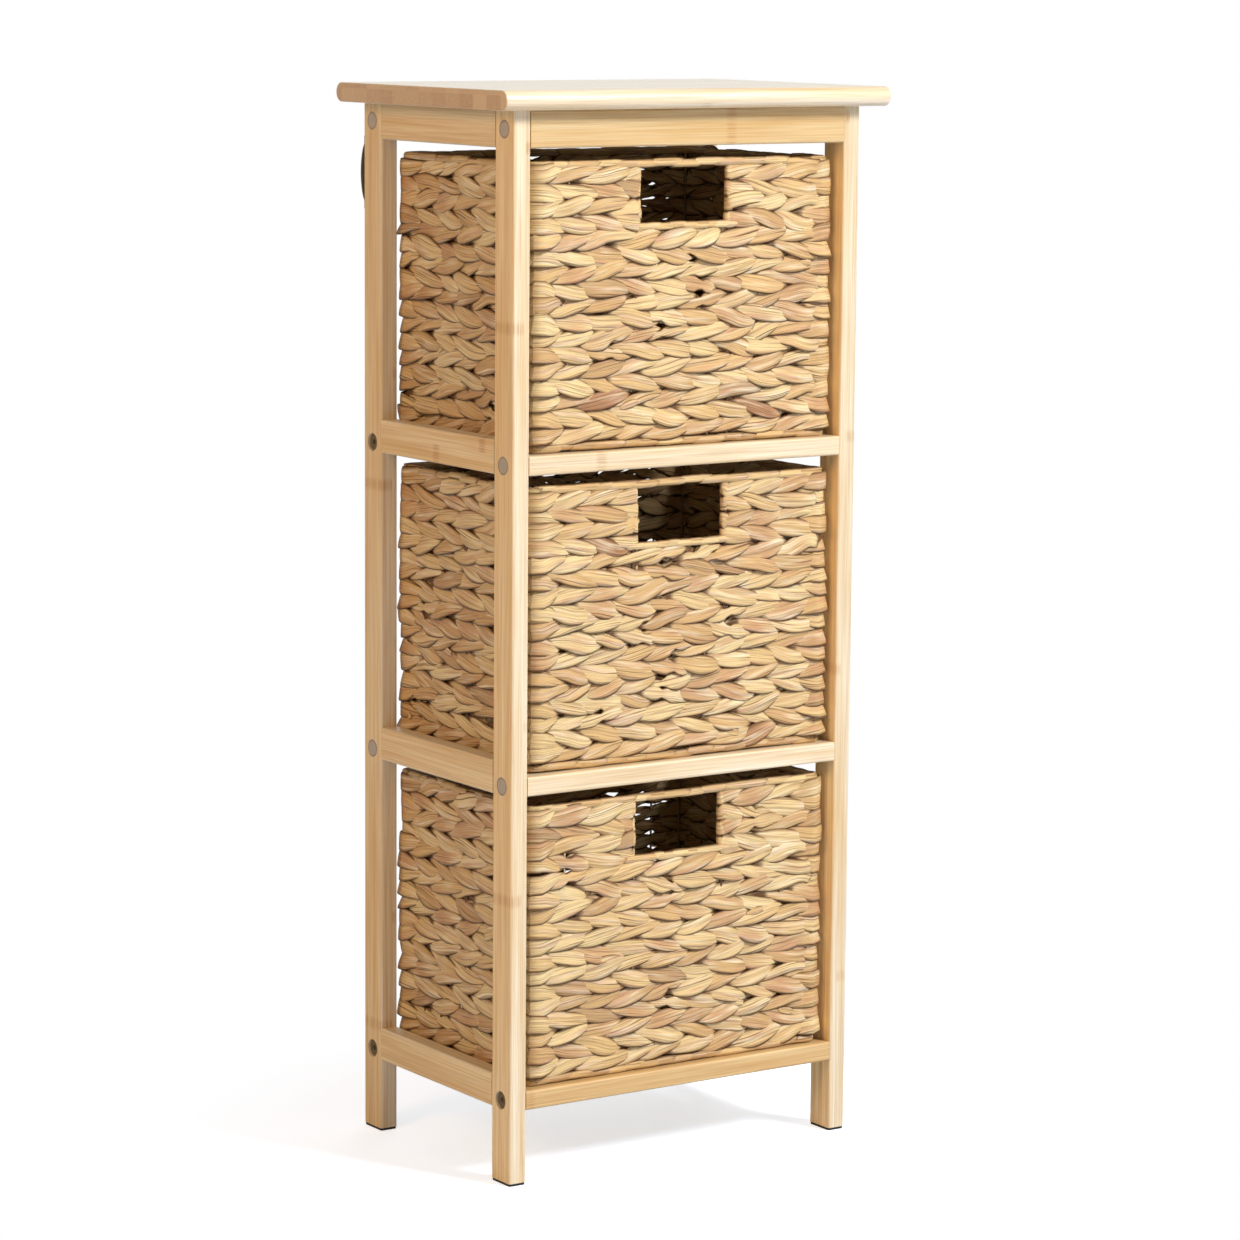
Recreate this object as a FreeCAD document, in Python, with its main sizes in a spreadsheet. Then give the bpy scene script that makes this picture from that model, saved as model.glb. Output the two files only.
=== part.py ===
"""Open bamboo stand with three woven basket drawers, as separate pieces, in millimetres.

X runs to the right, Y to the back and Z up. The origin lies on the floor, under the middle of the
top board. The front of the stand faces -Y.
"""
import FreeCAD
import Part
import math
import os
from types import SimpleNamespace

import Sketcher
from FreeCAD import Placement, Rotation, Vector

# Driving dimensions
SIZES = {
    # stand
    "post_span_width": 316.0,
    "post_span_depth": 215.0,
    "stock_thick": 15.0,
    "stock_wide": 26.0,
    "edge_round": 2.0,
    "foot_clear": 57.5,
    "tier_pitch": 241.5,
    "apron_height": 28.0,
    # top board
    "board_thick": 15.0,
    "board_side_overhang": 17.0,
    "board_front_overhang": 17.0,
    "board_rear_overhang": 13.0,
    "board_end_round": 1.0,
    # foot pads
    "pad_thick": 2.0,
    "pad_inset": 0.5,
    # bolted joints of the cross rails
    "recess_radius": 7.0,
    "recess_depth": 4.0,
    "cap_thick": 1.3,
    "cap_clear": 0.2,
    "bolt_radius": 3.0,
    "bolt_clear": 0.25,
    "bolt_head_radius": 6.3,
    "bolt_head_thick": 2.2,
    "bolt_socket_radius": 2.3,
    "bolt_socket_depth": 1.4,
    "bolt_reach": 14.0,
    "insert_radius": 4.5,
    "insert_length": 15.0,
    "insert_clear": 0.1,
    # dowels
    "dowel_radius": 3.0,
    "dowel_post_depth": 8.0,
    "dowel_rail_depth": 12.0,
    "dowel_spacing": 13.0,
    "pin_radius": 2.5,
    "pin_offset": 8.0,
    "dowel_clear": 0.1,
    # screws of the top board
    "screw_radius": 2.0,
    "screw_clear": 0.2,
    "screw_head_radius": 3.8,
    "screw_head_thick": 2.5,
    "screw_recess_radius": 4.8,
    "screw_recess_depth": 12.0,
    "screw_bite": 10.0,
    # wall strap
    "strap_drop": 54.0,
    "strap_length": 56.0,
    "strap_width": 11.0,
    "strap_thick": 1.4,
    "strap_loop_length": 32.0,
    "strap_loop_height": 4.2,
    "strap_screw_radius": 1.6,
    "strap_screw_head_radius": 3.2,
    "strap_screw_head_thick": 1.6,
    "strap_screw_bite": 13.0,
    # basket drawers
    "basket_side_gap": 7.0,
    "basket_top_gap": 10.0,
    "basket_rest_gap": 0.3,
    "basket_front_inset": 7.0,
    "basket_rear_inset": 16.0,
    "basket_corner": 12.0,
    "weave_thick": 8.0,
    "rim_height": 6.5,
    "border_height": 6.5,
    "wrap_round": 2.2,
    "floor_thick": 5.5,
    "floor_lift": 2.5,
    "floor_clear": 0.2,
    "hole_width": 79.0,
    "hole_height": 41.0,
    "binding_width": 6.0,
    "ring_radius": 1.75,
    "stake_radius": 1.5,
    "hole_wire_radius": 1.25,
    "wire_clear": 0.1,
}

# Places along a piece, as shares of its length
TOP_SCREW_SHARE = 0.36
BACK_UPRIGHT_SHARE = 0.17
BASE_WIRE_SHARE = 0.2

LEVELS = ("lower", "middle", "upper", "top")
DRAWERS = LEVELS[:-1]
SIDES = {"left": -1, "right": 1}
ENDS = {"front": -1, "rear": 1}
OPEN_RECESSES = {("left", "rear", "upper"), ("left", "rear", "lower"), ("left", "front", "lower")}

ALONG_X = Rotation(Vector(0, 1, 0), 90)
ALONG_Y = Rotation(Vector(1, 0, 0), -90)
UPRIGHT = Rotation()


class Size:
    """A length that carries its value and the sheet expression that gives it."""

    def __init__(self, value, text):
        self.value = value
        self.text = text

    def __add__(self, other):
        return Size(self.value + other.value, f"({self.text} + {other.text})")

    def __sub__(self, other):
        return Size(self.value - other.value, f"({self.text} - {other.text})")

    def __mul__(self, factor):
        return Size(self.value * factor, f"({self.text} * {factor})")

    def __truediv__(self, factor):
        return Size(self.value / factor, f"({self.text} / {factor})")

    def __neg__(self):
        return self * -1

    __rmul__ = __mul__


doc = FreeCAD.newDocument("drawer_unit")
sheet = doc.addObject("Spreadsheet::Sheet", "sizes")
for row, (name, number) in enumerate(SIZES.items(), start=1):
    sheet.set(f"A{row}", name)
    sheet.set(f"B{row}", str(number))
    sheet.setAlias(f"B{row}", name)
doc.recompute()

size = SimpleNamespace(**{name: Size(sheet.get(name), f"sizes.{name}") for name in SIZES})
zero = Size(0, "0")
nodes = []

# Sizes worked out from the driving dimensions
post_top = size.foot_clear + len(DRAWERS) * size.tier_pitch + size.apron_height
post_length = post_top - size.pad_thick
side_length = size.post_span_depth - size.stock_wide * 2
cross_length = size.post_span_width - size.stock_thick * 2
board_width = size.post_span_width + size.board_side_overhang * 2
board_depth = size.post_span_depth + size.board_front_overhang + size.board_rear_overhang
frame_shift = (size.board_front_overhang - size.board_rear_overhang) / 2
post_x = (size.post_span_width - size.stock_thick) / 2
post_y = (size.post_span_depth - size.stock_wide) / 2
bolt_bore = size.bolt_radius + size.bolt_clear
dowel_bore = size.dowel_radius + size.dowel_clear
pin_bore = size.pin_radius + size.dowel_clear
screw_bore = size.screw_radius + size.screw_clear
strap_screw_spacing = (size.strap_length + size.strap_loop_length) / 2

basket_width = cross_length - size.basket_side_gap * 2
basket_depth = size.post_span_depth - size.basket_front_inset - size.basket_rear_inset
basket_height = size.tier_pitch - size.stock_thick - size.basket_top_gap
basket_y = frame_shift + (size.basket_front_inset - size.basket_rear_inset) / 2
wall_top = basket_height - size.rim_height
floor_top = size.floor_lift + size.floor_thick
inner_width = basket_width - size.weave_thick * 2
inner_depth = basket_depth - size.weave_thick * 2
inner_corner = size.basket_corner - size.weave_thick
notch_width = size.hole_width + size.binding_width * 2
wire_width = basket_width - size.weave_thick
wire_depth = basket_depth - size.weave_thick
wire_corner = size.basket_corner - size.weave_thick / 2
upper_ring = basket_height - size.rim_height / 2
lower_ring = size.border_height / 2
hole_wire_x = (size.hole_width + size.binding_width) / 2
hole_wire_z = wall_top - size.hole_height - size.binding_width / 2


def level_bottom(level):
    """Height of the underside of the rails of one level."""
    return size.foot_clear + LEVELS.index(level) * size.tier_pitch


def cross_height(level):
    """Height of a cross rail or apron."""
    return size.apron_height if level == "top" else size.stock_thick


def side_height(level):
    """Height of a side rail or side apron."""
    return size.apron_height if level == "top" else size.stock_wide


def bolt_height(level):
    """Height of the bolts of one level, in the middle of the cross rails."""
    return level_bottom(level) + cross_height(level) / 2


def dowel_heights(level):
    """Heights of the two dowels in each end of a side rail."""
    middle = level_bottom(level) + side_height(level) / 2
    return middle - size.dowel_spacing / 2, middle + size.dowel_spacing / 2


def bind(item, path, length):
    """Ties a property of a document object to the sheet."""
    item.setExpression(path, length.text)


def place(item, x, y, z, rotation=UPRIGHT):
    """Turns a piece and ties its position to the sheet."""
    item.Placement = Placement(Vector(x.value, y.value, z.value), rotation)
    for axis, length in (("x", x), ("y", y), ("z", z)):
        bind(item, f"Placement.Base.{axis}", length)


def add_node(item):
    """Registers a document object as a sub-part of the object."""
    nodes.append(item)
    return item


def new_body(label):
    return doc.addObject("PartDesign::Body", label)


def sketch_on(body, name, role, lift=zero):
    """Starts a sketch on an origin plane of its body, lifted along the plane's normal."""
    plane = next(item for item in body.Origin.OriginFeatures if item.Role == role)
    sketch = body.newObject("Sketcher::SketchObject", name)
    sketch.AttachmentSupport = [(plane, "")]
    sketch.MapMode = "FlatFace"
    bind(sketch, "AttachmentOffset.Base.z", lift)
    return sketch


def constrain(sketch, kind, *references, length=None):
    """Adds a constraint, tied to the sheet where it has a length."""
    if length is None:
        return sketch.addConstraint(Sketcher.Constraint(kind, *references))
    index = sketch.addConstraint(Sketcher.Constraint(kind, *references, length.value))
    bind(sketch, f"Constraints[{index}]", length)
    return index


def rectangle(sketch, width, depth, x=zero, y=zero):
    """Draws a rectangle round the point x, y."""
    left, right = x.value - width.value / 2, x.value + width.value / 2
    low, high = y.value - depth.value / 2, y.value + depth.value / 2
    corners = [Vector(left, low), Vector(right, low), Vector(right, high), Vector(left, high)]
    ends = corners[1:] + corners[:1]
    lines = [sketch.addGeometry(Part.LineSegment(start, end)) for start, end in zip(corners, ends)]
    for line, following in zip(lines, lines[1:] + lines[:1]):
        constrain(sketch, "Coincident", line, 2, following, 1)
    for line, kind in zip(lines, ("Horizontal", "Vertical") * 2):
        constrain(sketch, kind, line)
    constrain(sketch, "DistanceX", lines[0], 1, lines[0], 2, length=width)
    constrain(sketch, "DistanceY", lines[1], 1, lines[1], 2, length=depth)
    constrain(sketch, "DistanceX", -1, 1, lines[0], 1, length=x - width / 2)
    constrain(sketch, "DistanceY", -1, 1, lines[0], 1, length=y - depth / 2)


def rounded_rectangle(sketch, width, depth, radius):
    """Draws a rectangle with round corners about the sketch's origin."""
    x, y, r = width.value / 2, depth.value / 2, radius.value
    quarters = [(1, -1), (1, 1), (-1, 1), (-1, -1)]
    lines, arcs = [], []
    for index, (right, up) in enumerate(quarters):
        centre = Vector(right * (x - r), up * (y - r))
        turn = (index - 1) * math.pi / 2
        circle = Part.Circle(centre, Vector(0, 0, 1), r)
        arc = Part.ArcOfCircle(circle, turn, turn + math.pi / 2)
        before = Vector(-centre.x, centre.y) if index % 2 == 0 else Vector(centre.x, -centre.y)
        outward = Vector(math.cos(turn), math.sin(turn)) * r
        lines.append(sketch.addGeometry(Part.LineSegment(before + outward, centre + outward)))
        arcs.append(sketch.addGeometry(arc))
    for index in range(len(quarters)):
        following = (index + 1) % len(quarters)
        constrain(sketch, "Tangent", lines[index], 2, arcs[index], 1)
        constrain(sketch, "Tangent", arcs[index], 2, lines[following], 1)
        constrain(sketch, "Horizontal" if index % 2 == 0 else "Vertical", lines[index])
        if index:
            constrain(sketch, "Equal", arcs[0], arcs[index])
    constrain(sketch, "Radius", arcs[0], length=radius)
    constrain(sketch, "DistanceX", lines[3], 1, lines[1], 1, length=width)
    constrain(sketch, "DistanceY", lines[0], 1, lines[2], 1, length=depth)
    constrain(sketch, "Symmetric", arcs[0], 3, arcs[2], 3, -1, 1)


def circle_at(sketch, x, y, radius):
    """Draws a circle round the point x, y."""
    centre = Vector(x.value, y.value)
    circle = sketch.addGeometry(Part.Circle(centre, Vector(0, 0, 1), radius.value))
    constrain(sketch, "Radius", circle, length=radius)
    constrain(sketch, "DistanceX", -1, 1, circle, 3, length=x)
    constrain(sketch, "DistanceY", -1, 1, circle, 3, length=y)


def pad(body, sketch, length, both_ways=False):
    """Raises a sketch into a solid, forward or to both sides of its plane."""
    feature = body.newObject("PartDesign::Pad", f"{sketch.Label}Pad")
    feature.Profile = sketch
    feature.SideType = "Symmetric" if both_ways else "One side"
    bind(feature, "Length", length)
    doc.recompute()
    return feature


def pocket(body, sketch, depth, forward=False):
    """Cuts a sketch into the solid, against its plane's normal unless forward is set."""
    before = body.Shape.Volume
    feature = body.newObject("PartDesign::Pocket", f"{sketch.Label}Pocket")
    feature.Profile = sketch
    feature.Reversed = forward
    bind(feature, "Length", depth)
    doc.recompute()
    if not feature.Shape.Volume < before:
        raise ValueError(f"{body.Label}: {feature.Label} cuts nothing")
    return feature


def drill(body, name, role, lift, holes, depth, forward=False):
    """Cuts round holes, given as x, y and radius on a plane."""
    sketch = sketch_on(body, name, role, lift)
    for x, y, radius in holes:
        circle_at(sketch, x, y, radius)
    return pocket(body, sketch, depth, forward)


def round_edges(body, feature, radius, chosen):
    """Rounds the edges of a feature that the chosen test accepts."""
    edges = enumerate(feature.Shape.Edges, start=1)
    names = [f"Edge{index}" for index, edge in edges if chosen(edge)]
    fillet = body.newObject("PartDesign::Fillet", "RoundedEdges")
    fillet.Base = (feature, names)
    bind(fillet, "Radius", radius)
    doc.recompute()


def runs_lengthways(edge):
    """Tells whether an edge runs along its body's Z axis."""
    box = edge.BoundBox
    return box.ZLength > max(box.XLength, box.YLength)


def lies_across(edge):
    """Tells whether an edge lies in a plane square to its body's X axis."""
    return edge.BoundBox.XLength < Part.Precision.confusion() * 10


def lies_level(edge):
    """Tells whether an edge lies in a plane square to its body's Z axis."""
    return edge.BoundBox.ZLength < Part.Precision.confusion() * 10


def bar(label, across, wide, length):
    """Makes a bar along its own Z axis, with its four long edges rounded."""
    body = new_body(label)
    outline = sketch_on(body, "Section", "XY_Plane")
    rectangle(outline, across, wide)
    stick = pad(body, outline, length)
    round_edges(body, stick, size.edge_round, runs_lengthways)
    return body


def cylinder(name, radius, length, lift=zero):
    """Makes an upright cylinder that stands on the height lift."""
    item = doc.addObject("Part::Cylinder", name)
    bind(item, "Radius", radius)
    bind(item, "Height", length)
    place(item, zero, zero, lift)
    return item


def cut(label, base, tool):
    item = doc.addObject("Part::Cut", label)
    item.Base = base
    item.Tool = tool
    return item


def headed_pin(name, shank_radius, shank_length, head_radius, head_thick):
    """Makes a bolt or screw: the shank runs up from the head's seat at zero."""
    head = cylinder(f"{name}_head", head_radius, head_thick, -head_thick)
    shank = cylinder(f"{name}_shank", shank_radius, shank_length)
    joined = doc.addObject("Part::Fuse", name)
    joined.Base = head
    joined.Tool = shank
    doc.recompute()
    return joined


def group(label, pattern, spots):
    """Makes one node of equal separate solids, each at a point and along a direction."""
    doc.recompute()
    solids = []
    for point, direction in spots:
        solid = pattern.Shape.copy()
        solid.Placement = Placement(point, Rotation(Vector(0, 0, 1), direction)) * solid.Placement
        solids.append(solid)
    item = doc.addObject("Part::Feature", label)
    item.Shape = Part.makeCompound(solids)
    return add_node(item)


def make_post(side, end):
    """Makes a post with its bolt recesses, bores and dowel holes."""
    outer, back = SIDES[side], ENDS[end]
    post = bar(f"{end}_{side}_post", size.stock_thick, size.stock_wide, post_length)
    bolts = [bolt_height(level) - size.pad_thick for level in LEVELS]
    dowels = [height - size.pad_thick for level in LEVELS for height in dowel_heights(level)]
    face_x = size.stock_thick / 2
    face_y = size.stock_wide / 2
    recesses = [(zero, height, size.recess_radius) for height in bolts]
    bores = [(zero, height, bolt_bore) for height in bolts]
    pins = [(size.pin_offset * back, height, pin_bore) for height in bolts]
    holes = [(zero, height, dowel_bore) for height in dowels]
    drill(post, "Recesses", "YZ_Plane", face_x * outer, recesses, size.recess_depth, outer < 0)
    drill(post, "BoltBores", "YZ_Plane", face_x * outer, bores, size.stock_thick, outer < 0)
    drill(post, "PinHoles", "YZ_Plane", face_x * -outer, pins, size.dowel_post_depth, outer > 0)
    drill(post, "DowelHoles", "XZ_Plane", face_y * back, holes, size.dowel_post_depth, back < 0)
    if (side, end) == ("left", "rear"):
        drill_strap_holes(post)
    place(post, post_x * outer, frame_shift + post_y * back, size.pad_thick)
    return add_node(post)


def drill_strap_holes(post):
    """Bores the back of the post for the two screws of the wall strap."""
    middle = post_length - size.strap_drop
    reach = strap_screw_spacing / 2
    radius = size.strap_screw_radius + size.screw_clear
    holes = [(zero, middle + reach * way, radius) for way in (-1, 1)]
    drill(post, "StrapHoles", "XZ_Plane", -size.stock_wide / 2, holes, size.strap_screw_bite, True)


def make_side_rail(side, level):
    """Makes a side rail or side apron with two dowel holes in each end."""
    label = f"{side}_side_apron" if level == "top" else f"{side}_{level}_side_rail"
    tall = side_height(level)
    rail = bar(label, size.stock_thick, tall, side_length)
    holes = [(zero, size.dowel_spacing / 2 * way, dowel_bore) for way in (-1, 1)]
    drill(rail, "FrontDowelHoles", "XY_Plane", zero, holes, size.dowel_rail_depth, True)
    drill(rail, "RearDowelHoles", "XY_Plane", side_length, holes, size.dowel_rail_depth)
    middle = level_bottom(level) + tall / 2
    place(rail, post_x * SIDES[side], frame_shift - side_length / 2, middle, ALONG_Y)
    return add_node(rail)


def make_cross_rail(end, level):
    """Makes a front or rear rail or apron with an insert bore and a pin hole in each end."""
    back = ENDS[end]
    label = f"{end}_apron" if level == "top" else f"{level}_{end}_rail"
    tall = cross_height(level)
    rail = bar(label, tall, size.stock_wide, cross_length)
    bore = [(zero, zero, size.insert_radius + size.insert_clear)]
    pin = [(zero, size.pin_offset * back, pin_bore)]
    for way, lift, forward in (("Left", zero, True), ("Right", cross_length, False)):
        drill(rail, f"{way}InsertBore", "XY_Plane", lift, bore, size.insert_length, forward)
        drill(rail, f"{way}PinHole", "XY_Plane", lift, pin, size.dowel_rail_depth, forward)
    if level == "top":
        drill_board_screw_holes(rail)
    place(rail, -cross_length / 2, frame_shift + post_y * back, bolt_height(level), ALONG_X)
    return add_node(rail)


def board_screw_places():
    """Distances of the top board's screws from the middle of an apron."""
    return [cross_length * (TOP_SCREW_SHARE * way) for way in (-1, 1)]


def drill_board_screw_holes(apron):
    """Bores an apron from below for the screws of the top board."""
    spots = [cross_length / 2 + distance for distance in board_screw_places()]
    below = size.apron_height / 2
    recesses = [(zero, spot, size.screw_recess_radius) for spot in spots]
    bores = [(zero, spot, screw_bore) for spot in spots]
    drill(apron, "ScrewRecesses", "YZ_Plane", below, recesses, size.screw_recess_depth)
    drill(apron, "ScrewBores", "YZ_Plane", below, bores, size.apron_height)


def make_top_board():
    """Makes the board with round front and rear edges and flat ends."""
    body = new_body("top_board")
    outline = sketch_on(body, "Outline", "YZ_Plane")
    round_radius = size.board_thick / 2
    reach = (board_depth - size.board_thick) / 2
    y, r = reach.value, round_radius.value
    quarter = math.pi / 2
    rear_circle = Part.Circle(Vector(y, 0), Vector(0, 0, 1), r)
    front_circle = Part.Circle(Vector(-y, 0), Vector(0, 0, 1), r)
    under = outline.addGeometry(Part.LineSegment(Vector(-y, -r), Vector(y, -r)))
    rear = outline.addGeometry(Part.ArcOfCircle(rear_circle, -quarter, quarter))
    upper = outline.addGeometry(Part.LineSegment(Vector(y, r), Vector(-y, r)))
    front = outline.addGeometry(Part.ArcOfCircle(front_circle, quarter, quarter * 3))
    loop = (under, rear, upper, front)
    for piece, following in zip(loop, loop[1:] + loop[:1]):
        constrain(outline, "Tangent", piece, 2, following, 1)
    constrain(outline, "Horizontal", under)
    constrain(outline, "Equal", rear, front)
    constrain(outline, "Radius", rear, length=round_radius)
    constrain(outline, "DistanceX", under, 1, under, 2, length=reach * 2)
    constrain(outline, "Symmetric", rear, 3, front, 3, -1, 1)
    board = pad(body, outline, board_width, both_ways=True)
    round_edges(body, board, size.board_end_round, lies_across)
    spots = [(x, frame_shift + post_y * back) for x in board_screw_places() for back in ENDS.values()]
    holes = [(x, y, screw_bore) for x, y in spots]
    drill(body, "ScrewHoles", "XY_Plane", -round_radius, holes, size.screw_bite, True)
    place(body, zero, zero, post_top + round_radius)
    return add_node(body)


def make_foot_pad(side, end):
    """Makes a thin pad under a post, a little smaller than the post."""
    across = size.stock_thick - size.pad_inset * 2
    wide = size.stock_wide - size.pad_inset * 2
    body = new_body(f"{end}_{side}_foot_pad")
    outline = sketch_on(body, "Section", "XY_Plane")
    rectangle(outline, across, wide)
    slab = pad(body, outline, size.pad_thick)
    round_edges(body, slab, size.edge_round - size.pad_inset, stands_upright)
    place(body, post_x * SIDES[side], frame_shift + post_y * ENDS[end], zero)
    return add_node(body)


def stands_upright(edge):
    """Tells whether an edge runs straight up."""
    box = edge.BoundBox
    return max(box.XLength, box.YLength) < Part.Precision.confusion() * 10


def bolt_spots(depth):
    """Points on the bolt axes, at a depth below the posts' outer faces, with their directions."""
    spots = {}
    for side, outer in SIDES.items():
        x = (size.post_span_width / 2 - depth).value * outer
        for end, back in ENDS.items():
            y = (frame_shift + post_y * back).value
            for level in LEVELS:
                point = Vector(x, y, bolt_height(level).value)
                spots[(side, end, level)] = (point, Vector(-outer, 0, 0))
    return spots


def make_bolted_joints():
    """Makes the bolts, inserts, caps and locating dowels of the cross rails."""
    shank = size.stock_thick - size.recess_depth + size.bolt_reach
    plain = headed_pin("bolt", size.bolt_radius, shank, size.bolt_head_radius, size.bolt_head_thick)
    socket = doc.addObject("Part::Prism", "bolt_socket")
    bind(socket, "Circumradius", size.bolt_socket_radius)
    bind(socket, "Height", size.bolt_socket_depth)
    place(socket, zero, zero, -size.bolt_head_thick)
    bolt = cut("bolt_with_socket", plain, socket)
    group("frame_bolts", bolt, bolt_spots(size.recess_depth).values())

    sleeve = cylinder("insert_sleeve", size.insert_radius, size.insert_length)
    bore = cylinder("insert_bore", bolt_bore, size.insert_length)
    insert = cut("insert", sleeve, bore)
    group("threaded_inserts", insert, bolt_spots(size.stock_thick).values())

    cap = cylinder("cap", size.recess_radius - size.cap_clear, size.cap_thick)
    covered = [spot for key, spot in bolt_spots(zero).items() if key not in OPEN_RECESSES]
    group("bolt_cover_caps", cap, covered)

    pin = cylinder("pin", size.pin_radius, size.dowel_post_depth + size.dowel_rail_depth)
    pins = []
    for (_, end, _), (point, way) in bolt_spots(size.stock_thick - size.dowel_post_depth).items():
        pins.append((point + Vector(0, size.pin_offset.value * ENDS[end], 0), way))
    group("locating_dowels", pin, pins)


def make_side_dowels():
    """Makes the glued dowels between the side rails and the posts."""
    dowel = cylinder("dowel", size.dowel_radius, size.dowel_post_depth + size.dowel_rail_depth)
    reach = side_length / 2 + size.dowel_post_depth
    spots = []
    for outer in SIDES.values():
        for back in ENDS.values():
            y = (frame_shift + reach * back).value
            for height in (height for level in LEVELS for height in dowel_heights(level)):
                point = Vector((post_x * outer).value, y, height.value)
                spots.append((point, Vector(0, -back, 0)))
    group("side_rail_dowels", dowel, spots)


def make_board_screws():
    """Makes the screws that hold the top board from below."""
    shank = size.apron_height - size.screw_recess_depth + size.screw_bite
    screw = headed_pin("screw", size.screw_radius, shank, size.screw_head_radius, size.screw_head_thick)
    seat = level_bottom("top") + size.screw_recess_depth
    spots = []
    for x in board_screw_places():
        for back in ENDS.values():
            y = frame_shift + post_y * back
            spots.append((Vector(x.value, y.value, seat.value), Vector(0, 0, 1)))
    group("top_board_screws", screw, spots)


def make_wall_strap():
    """Makes the strap loop on the back of the rear left post, and its two screws."""
    thick, height = size.strap_thick.value, size.strap_loop_height.value
    half, loop = size.strap_length.value / 2, size.strap_loop_length.value / 2
    inner = loop - thick
    outline = Part.Wire([
        Part.LineSegment(Vector(0, 0, half), Vector(0, thick, half)).toShape(),
        Part.LineSegment(Vector(0, thick, half), Vector(0, thick, loop)).toShape(),
        Part.Arc(Vector(0, thick, loop), Vector(0, height, 0), Vector(0, thick, -loop)).toShape(),
        Part.LineSegment(Vector(0, thick, -loop), Vector(0, thick, -half)).toShape(),
        Part.LineSegment(Vector(0, thick, -half), Vector(0, 0, -half)).toShape(),
        Part.LineSegment(Vector(0, 0, -half), Vector(0, 0, -inner)).toShape(),
        Part.Arc(Vector(0, 0, -inner), Vector(0, height - thick, 0), Vector(0, 0, inner)).toShape(),
        Part.LineSegment(Vector(0, 0, inner), Vector(0, 0, half)).toShape(),
    ])
    band = Part.Face(outline).extrude(Vector(size.strap_width.value, 0, 0))
    band.translate(Vector(-size.strap_width.value / 2, 0, 0))
    reach = strap_screw_spacing.value / 2
    bore = (size.strap_screw_radius + size.screw_clear).value
    for way in (-1, 1):
        spot = Vector(0, 0, reach * way)
        band = band.cut(Part.makeCylinder(bore, thick, spot, Vector(0, 1, 0)))
    strap = doc.addObject("Part::Feature", "wall_strap_loop")
    strap.Shape = band
    back_face = frame_shift + size.post_span_depth / 2
    height_above = post_top - size.strap_drop
    place(strap, -post_x, back_face, height_above)
    add_node(strap)

    shank = size.strap_screw_bite + size.strap_thick
    head_radius, head_thick = size.strap_screw_head_radius, size.strap_screw_head_thick
    screw = headed_pin("strap_screw", size.strap_screw_radius, shank, head_radius, head_thick)
    seat = Vector(-post_x.value, (back_face + size.strap_thick).value, height_above.value)
    spots = [(seat + Vector(0, 0, reach * way), Vector(0, -1, 0)) for way in (-1, 1)]
    group("wall_strap_screws", screw, spots)


def make_stand():
    """Makes the stand and everything that holds it together."""
    for side in SIDES:
        for end in ENDS:
            make_post(side, end)
            make_foot_pad(side, end)
        for level in LEVELS:
            make_side_rail(side, level)
    for end in ENDS:
        for level in LEVELS:
            make_cross_rail(end, level)
    make_top_board()
    make_bolted_joints()
    make_side_dowels()
    make_board_screws()
    make_wall_strap()


def ring_wire(body, name, height, radius):
    """Adds a closed wire ring in the middle of the wall's thickness."""
    path = sketch_on(body, f"{name}Path", "XY_Plane", height)
    rounded_rectangle(path, wire_width, wire_depth, wire_corner)
    profile = sketch_on(body, f"{name}Profile", "XZ_Plane")
    circle_at(profile, -wire_width / 2, height, radius)
    ring = body.newObject("PartDesign::AdditivePipe", name)
    ring.Profile = profile
    ring.Spine = (path, [])
    doc.recompute()


def wire_frame(label, room):
    """Makes the wire frame of a basket, or with some room round it the space that it fills."""
    body = new_body(label)
    ring = size.ring_radius + room
    stake = size.stake_radius + room
    corner_shift = wire_corner * (1 - math.cos(math.pi / 4))
    corner_x = wire_width / 2 - corner_shift
    corner_y = wire_depth / 2 - corner_shift
    uprights = sketch_on(body, "Uprights", "XY_Plane", lower_ring)
    for outer in SIDES.values():
        circle_at(uprights, wire_width / 2 * outer, zero, stake)
        circle_at(uprights, hole_wire_x * outer, -wire_depth / 2, stake)
        circle_at(uprights, basket_width * (BACK_UPRIGHT_SHARE * outer), wire_depth / 2, stake)
        for back in ENDS.values():
            circle_at(uprights, corner_x * outer, corner_y * back, stake)
    pad(body, uprights, upper_ring - lower_ring)
    ring_wire(body, "UpperRing", upper_ring, ring)
    ring_wire(body, "LowerRing", lower_ring, ring)
    base_wires = sketch_on(body, "BaseWires", "XZ_Plane")
    for outer in SIDES.values():
        circle_at(base_wires, basket_width * (BASE_WIRE_SHARE * outer), lower_ring, stake)
    pad(body, base_wires, wire_depth, both_ways=True)
    hole_wire = sketch_on(body, "HoleWire", "YZ_Plane")
    circle_at(hole_wire, -wire_depth / 2, hole_wire_z, size.hole_wire_radius + room)
    pad(body, hole_wire, hole_wire_x * 2, both_ways=True)
    return body


def weave_blank():
    """Makes the woven walls and floor, with the notch for the hand hole."""
    body = new_body("weave_blank")
    outer = sketch_on(body, "Walls", "XY_Plane", size.border_height)
    rounded_rectangle(outer, basket_width, basket_depth, size.basket_corner)
    pad(body, outer, wall_top - size.border_height)
    inner = sketch_on(body, "Inside", "XY_Plane", wall_top)
    rounded_rectangle(inner, inner_width, inner_depth, inner_corner)
    pocket(body, inner, wall_top - floor_top)
    floor = sketch_on(body, "Floor", "XY_Plane", size.floor_lift)
    room = size.floor_clear * 2
    rounded_rectangle(floor, inner_width - room, inner_depth - room, inner_corner - size.floor_clear)
    pad(body, floor, size.floor_thick)
    notch = sketch_on(body, "Notch", "XZ_Plane", basket_depth / 2)
    notch_height = size.hole_height + size.binding_width
    rectangle(notch, notch_width, notch_height, zero, wall_top - notch_height / 2)
    pocket(body, notch, size.weave_thick)
    return body


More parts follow.
